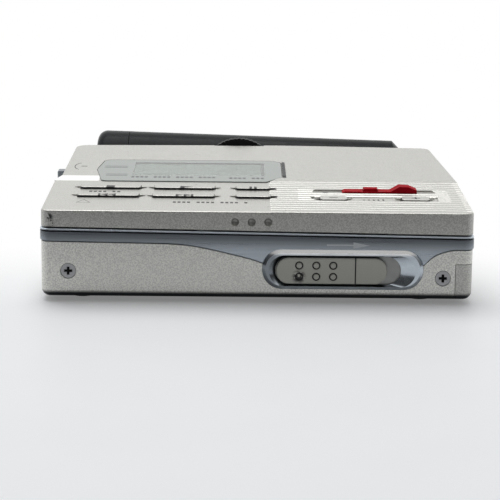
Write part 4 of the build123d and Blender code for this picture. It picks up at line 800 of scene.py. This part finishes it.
class PaintShell(bpy.types.Operator):
    """Finish the lid, cases, band, keys, sliders, sockets and feet"""
    bl_idname = "recorder.paint_shell"
    bl_label = "Shell finishes"

    def execute(self, context):
        tint = colours()
        silver = silver_paint("silver_paint")
        for node in ("lid_cover", "battery_door"):
            paint_node(node, silver)
        # Painted light: the lower case takes a copy of the silver paint made 1.4 times lighter, for the
        # brighter light on its front
        paint_node("lower_case", silver_paint("case_paint", 1.4))
        for node in KEY_NODES:
            paint_node(node, key_paint("paint_" + node, high(node).z))
        paint_node("mid_frame", band_metal())
        paint_node("open_bezel", bezel_plating())
        paint_node("hold_switch", plated("switch_chrome", darker(tint.chrome, 0.45), 0.25))
        paint_node("thumb_wheel", moulded("wheel_black", (0.012, 0.012, 0.013), 0.5, 2600.0, 0.02, 0.2))
        paint_node("open_slider", worn_slider())
        for node in ("record_slider", "record_lock"):
            paint_node(node, moulded("red_" + node, tuple(tint.record), 0.5, 1800.0, 0.01, 0.1, 1.2))
        gloss = moulded("case_gloss", tuple(tint.case), 0.24, 1500.0, 0.006, 0.12, 1.25)
        for node in ("aa_case_body", "aa_case_cap", "window_end_trim"):
            paint_node(node, gloss)
        paint_node("display_window", clear_window())
        paint_node("lcd_panel", display_glass())
        black = moulded("black_plastic", (0.014, 0.014, 0.015), 0.42)
        for node in ("case_bracket", "headphone_jack", "power_jack", "input_jacks"):
            paint_node(node, black)
        rubber = moulded("black_rubber", (0.018, 0.018, 0.018), 0.75, 1400.0, 0.04)
        for node in ("rubber_feet", "chassis_dampers"):
            paint_node(node, rubber)
        return {"FINISHED"}


class PaintWorks(bpy.types.Operator):
    """Finish the drive, boards, cells and fasteners inside"""
    bl_idname = "recorder.paint_works"
    bl_label = "Inner finishes"

    def execute(self, context):
        along, across, upright = (0.04, 3.0, 3.0), (3.0, 0.04, 3.0), (3.0, 3.0, 0.04)
        steel = {
            "holder": brushed("holder_steel", (0.58, 0.58, 0.57), across),
            "plate": brushed("plate_steel", (0.55, 0.56, 0.57), along),
            "turned": brushed("turned_steel", (0.60, 0.60, 0.60), upright, 0.22),
            "spring": brushed("spring_steel", (0.50, 0.50, 0.52), along, 0.34),
            "screws": screw_metal(),
        }
        finishes = {
            "holder": ("disc_holder", "lid_catch", "latch_carrier"),
            "plate": ("chassis_plate", "arm_bracket", "head_arm", "sled_motor"),
            "turned": (
                "guide_rods", "hinge_pins", "lead_screw", "spindle_motor", "turntable", "battery_door_pin"),
            "spring": ("latch_spring", "aa_contacts"),
            "screws": ("case_screws",),
        }
        for finish, nodes in finishes.items():
            for node in nodes:
                paint_node(node, steel[finish])
        brass = brushed("brass", (0.68, 0.50, 0.22), upright, 0.28)
        for node in ("rear_insert", "terminal_pads", "drive_pinion", "cell_contacts"):
            paint_node(node, brass)
        grey = moulded("grey_plastic", (0.20, 0.205, 0.21), 0.5)
        for node in ("key_domes", "battery_tray"):
            paint_node(node, grey)
        black = moulded("inner_black", (0.016, 0.016, 0.017), 0.48)
        for node in ("board_chips", "magnetic_head", "pickup_sled", "sled_nut"):
            paint_node(node, black)
        for node in ("main_board", "key_board"):
            paint_node(node, circuit_board())
        paint_node("objective_lens", coated_lens())
        start, stop = low("aa_cell").x, high("aa_cell").x
        third = start + (stop - start) * 0.68
        sleeve = cell_sleeve("aa_sleeve", (0.66, 0.47, 0.16), (0.02, 0.02, 0.022), third, third + 0.3 * MM)
        paint_node("aa_cell", sleeve)
        start = low("flat_cell").x + 2 * MM
        sleeve = cell_sleeve("flat_sleeve", (0.05, 0.10, 0.28), (0.55, 0.56, 0.58), start, start + 0.3 * MM)
        paint_node("flat_cell", sleeve)
        return {"FINISHED"}


class MakeStage(bpy.types.Operator):
    """Lay the floor, hang the lamps, set the world and aim the camera"""
    bl_idname = "recorder.stage"
    bl_label = "Floor, lamps and camera"

    def lamp(self, name, place, aim, size, power, colour=(1.0, 1.0, 1.0)):
        """A square soft lamp aimed at a point."""
        data = bpy.data.lights.new(name, "AREA")
        data.shape = "SQUARE"
        data.size = size
        data.energy = power
        data.color = colour
        item = bpy.data.objects.new(name, data)
        bpy.context.scene.collection.objects.link(item)
        item.location = place
        item.rotation_euler = (Vector(aim) - Vector(place)).to_track_quat("-Z", "Y").to_euler()

    def world(self):
        """A sky that is white where it is seen, and lights and mirrors darker from the front."""
        world = bpy.data.worlds.new("studio")
        bpy.context.scene.world = world
        world.use_nodes = True
        tree = world.node_tree
        background = tree.nodes["Background"]
        split = tree.nodes.new("ShaderNodeSeparateXYZ")
        tree.links.new(tree.nodes.new("ShaderNodeTexCoord").outputs["Generated"], split.inputs["Vector"])
        path = tree.nodes.new("ShaderNodeLightPath")
        upward = add_math(tree, "MULTIPLY", split.outputs["Z"], 0.5)
        raised = add_math(tree, "ADD", split.outputs["Y"], upward)
        mirrored = add_ramp(tree, raised, -0.35, 0.30, 0.07, 0.92)
        lit = add_ramp(tree, split.outputs["Y"], -0.8, 0.6, 0.16, 0.52)
        strength = lit
        rays = ((mirrored, "Is Glossy Ray"), (1.0, "Is Transmission Ray"), (1.0, "Is Camera Ray"))
        for wanted, ray in rays:
            choice = tree.nodes.new("ShaderNodeMix")
            tree.links.new(path.outputs[ray], choice.inputs["Factor"])
            tree.links.new(strength, choice.inputs[2])
            if isinstance(wanted, float):
                choice.inputs[3].default_value = wanted
            else:
                tree.links.new(wanted, choice.inputs[3])
            strength = choice.outputs[0]
        background.inputs["Color"].default_value = (1.0, 1.0, 1.0, 1.0)
        tree.links.new(strength, background.inputs["Strength"])

    def execute(self, context):
        bpy.ops.object.select_all(action="DESELECT")
        bpy.ops.mesh.primitive_plane_add(size=sizes().floor_size, location=(0.0, 0.0, 0.0))
        floor = bpy.context.object
        floor.name = "floor"
        settle(floor)
        floor.data.materials.append(floor_surface())
        self.world()
        self.lamp("overhead", (-0.10, 0.22, 0.75), (0.0, 0.0, 0.0), 0.55, 3.6)
        self.lamp("front_fill", (0.35, -0.75, 0.45), (0.0, 0.0, 0.0), 0.5, 0.4)
        data = bpy.data.cameras.new("camera")
        data.lens = sizes().lens_length
        data.sensor_width = 36.0
        data.clip_start = 0.02
        camera = bpy.data.objects.new("camera", data)
        bpy.context.scene.collection.objects.link(camera)
        turn = Matrix.Rotation(-CAMERA_YAW, 4, "Z") @ Matrix.Rotation(pi / 2 - CAMERA_PITCH, 4, "X")
        camera.matrix_world = Matrix.Translation(CAMERA_PLACE) @ turn @ Matrix.Rotation(CAMERA_ROLL, 4, "Z")
        bpy.context.scene.camera = camera
        bpy.context.scene.view_settings.view_transform = "Standard"
        return {"FINISHED"}


# ---- Panel and registration
class RecorderPanel(bpy.types.Panel):
    """Lists the recorder's pieces and its stage"""
    bl_idname = "RECORDER_PT_panel"
    bl_label = "Disc recorder"
    bl_space_type = "VIEW_3D"
    bl_region_type = "UI"
    bl_category = "Recorder"

    def draw(self, context):
        for operator in OPERATORS:
            self.layout.operator(operator.bl_idname)
        for group in (sizes(), colours()):
            for name in group.bl_rna.properties.keys():
                if name not in ("rna_type", "name"):
                    self.layout.prop(group, name)


OPERATORS = (
    PaintShell, PaintWorks, MakeKeySymbols, MakeLidMarks, MakeOpenerArrow, MakeWindowMarks, MakeStage)
CLASSES = (RecorderSizes, RecorderColours, *OPERATORS, RecorderPanel)


def register():
    """Registers the classes and hangs the settings on the scene."""
    for kind in CLASSES:
        bpy.utils.register_class(kind)
    bpy.types.Scene.recorder_sizes = PointerProperty(type=RecorderSizes)
    bpy.types.Scene.recorder_colours = PointerProperty(type=RecorderColours)


def unregister():
    """Takes the settings and classes away again."""
    del bpy.types.Scene.recorder_sizes
    del bpy.types.Scene.recorder_colours
    for kind in reversed(CLASSES):
        bpy.utils.unregister_class(kind)


def main():
    """Builds every piece in order."""
    register()
    for operator in OPERATORS:
        group, name = operator.bl_idname.split(".")
        getattr(getattr(bpy.ops, group), name)()


if __name__ == "__main__":
    main()
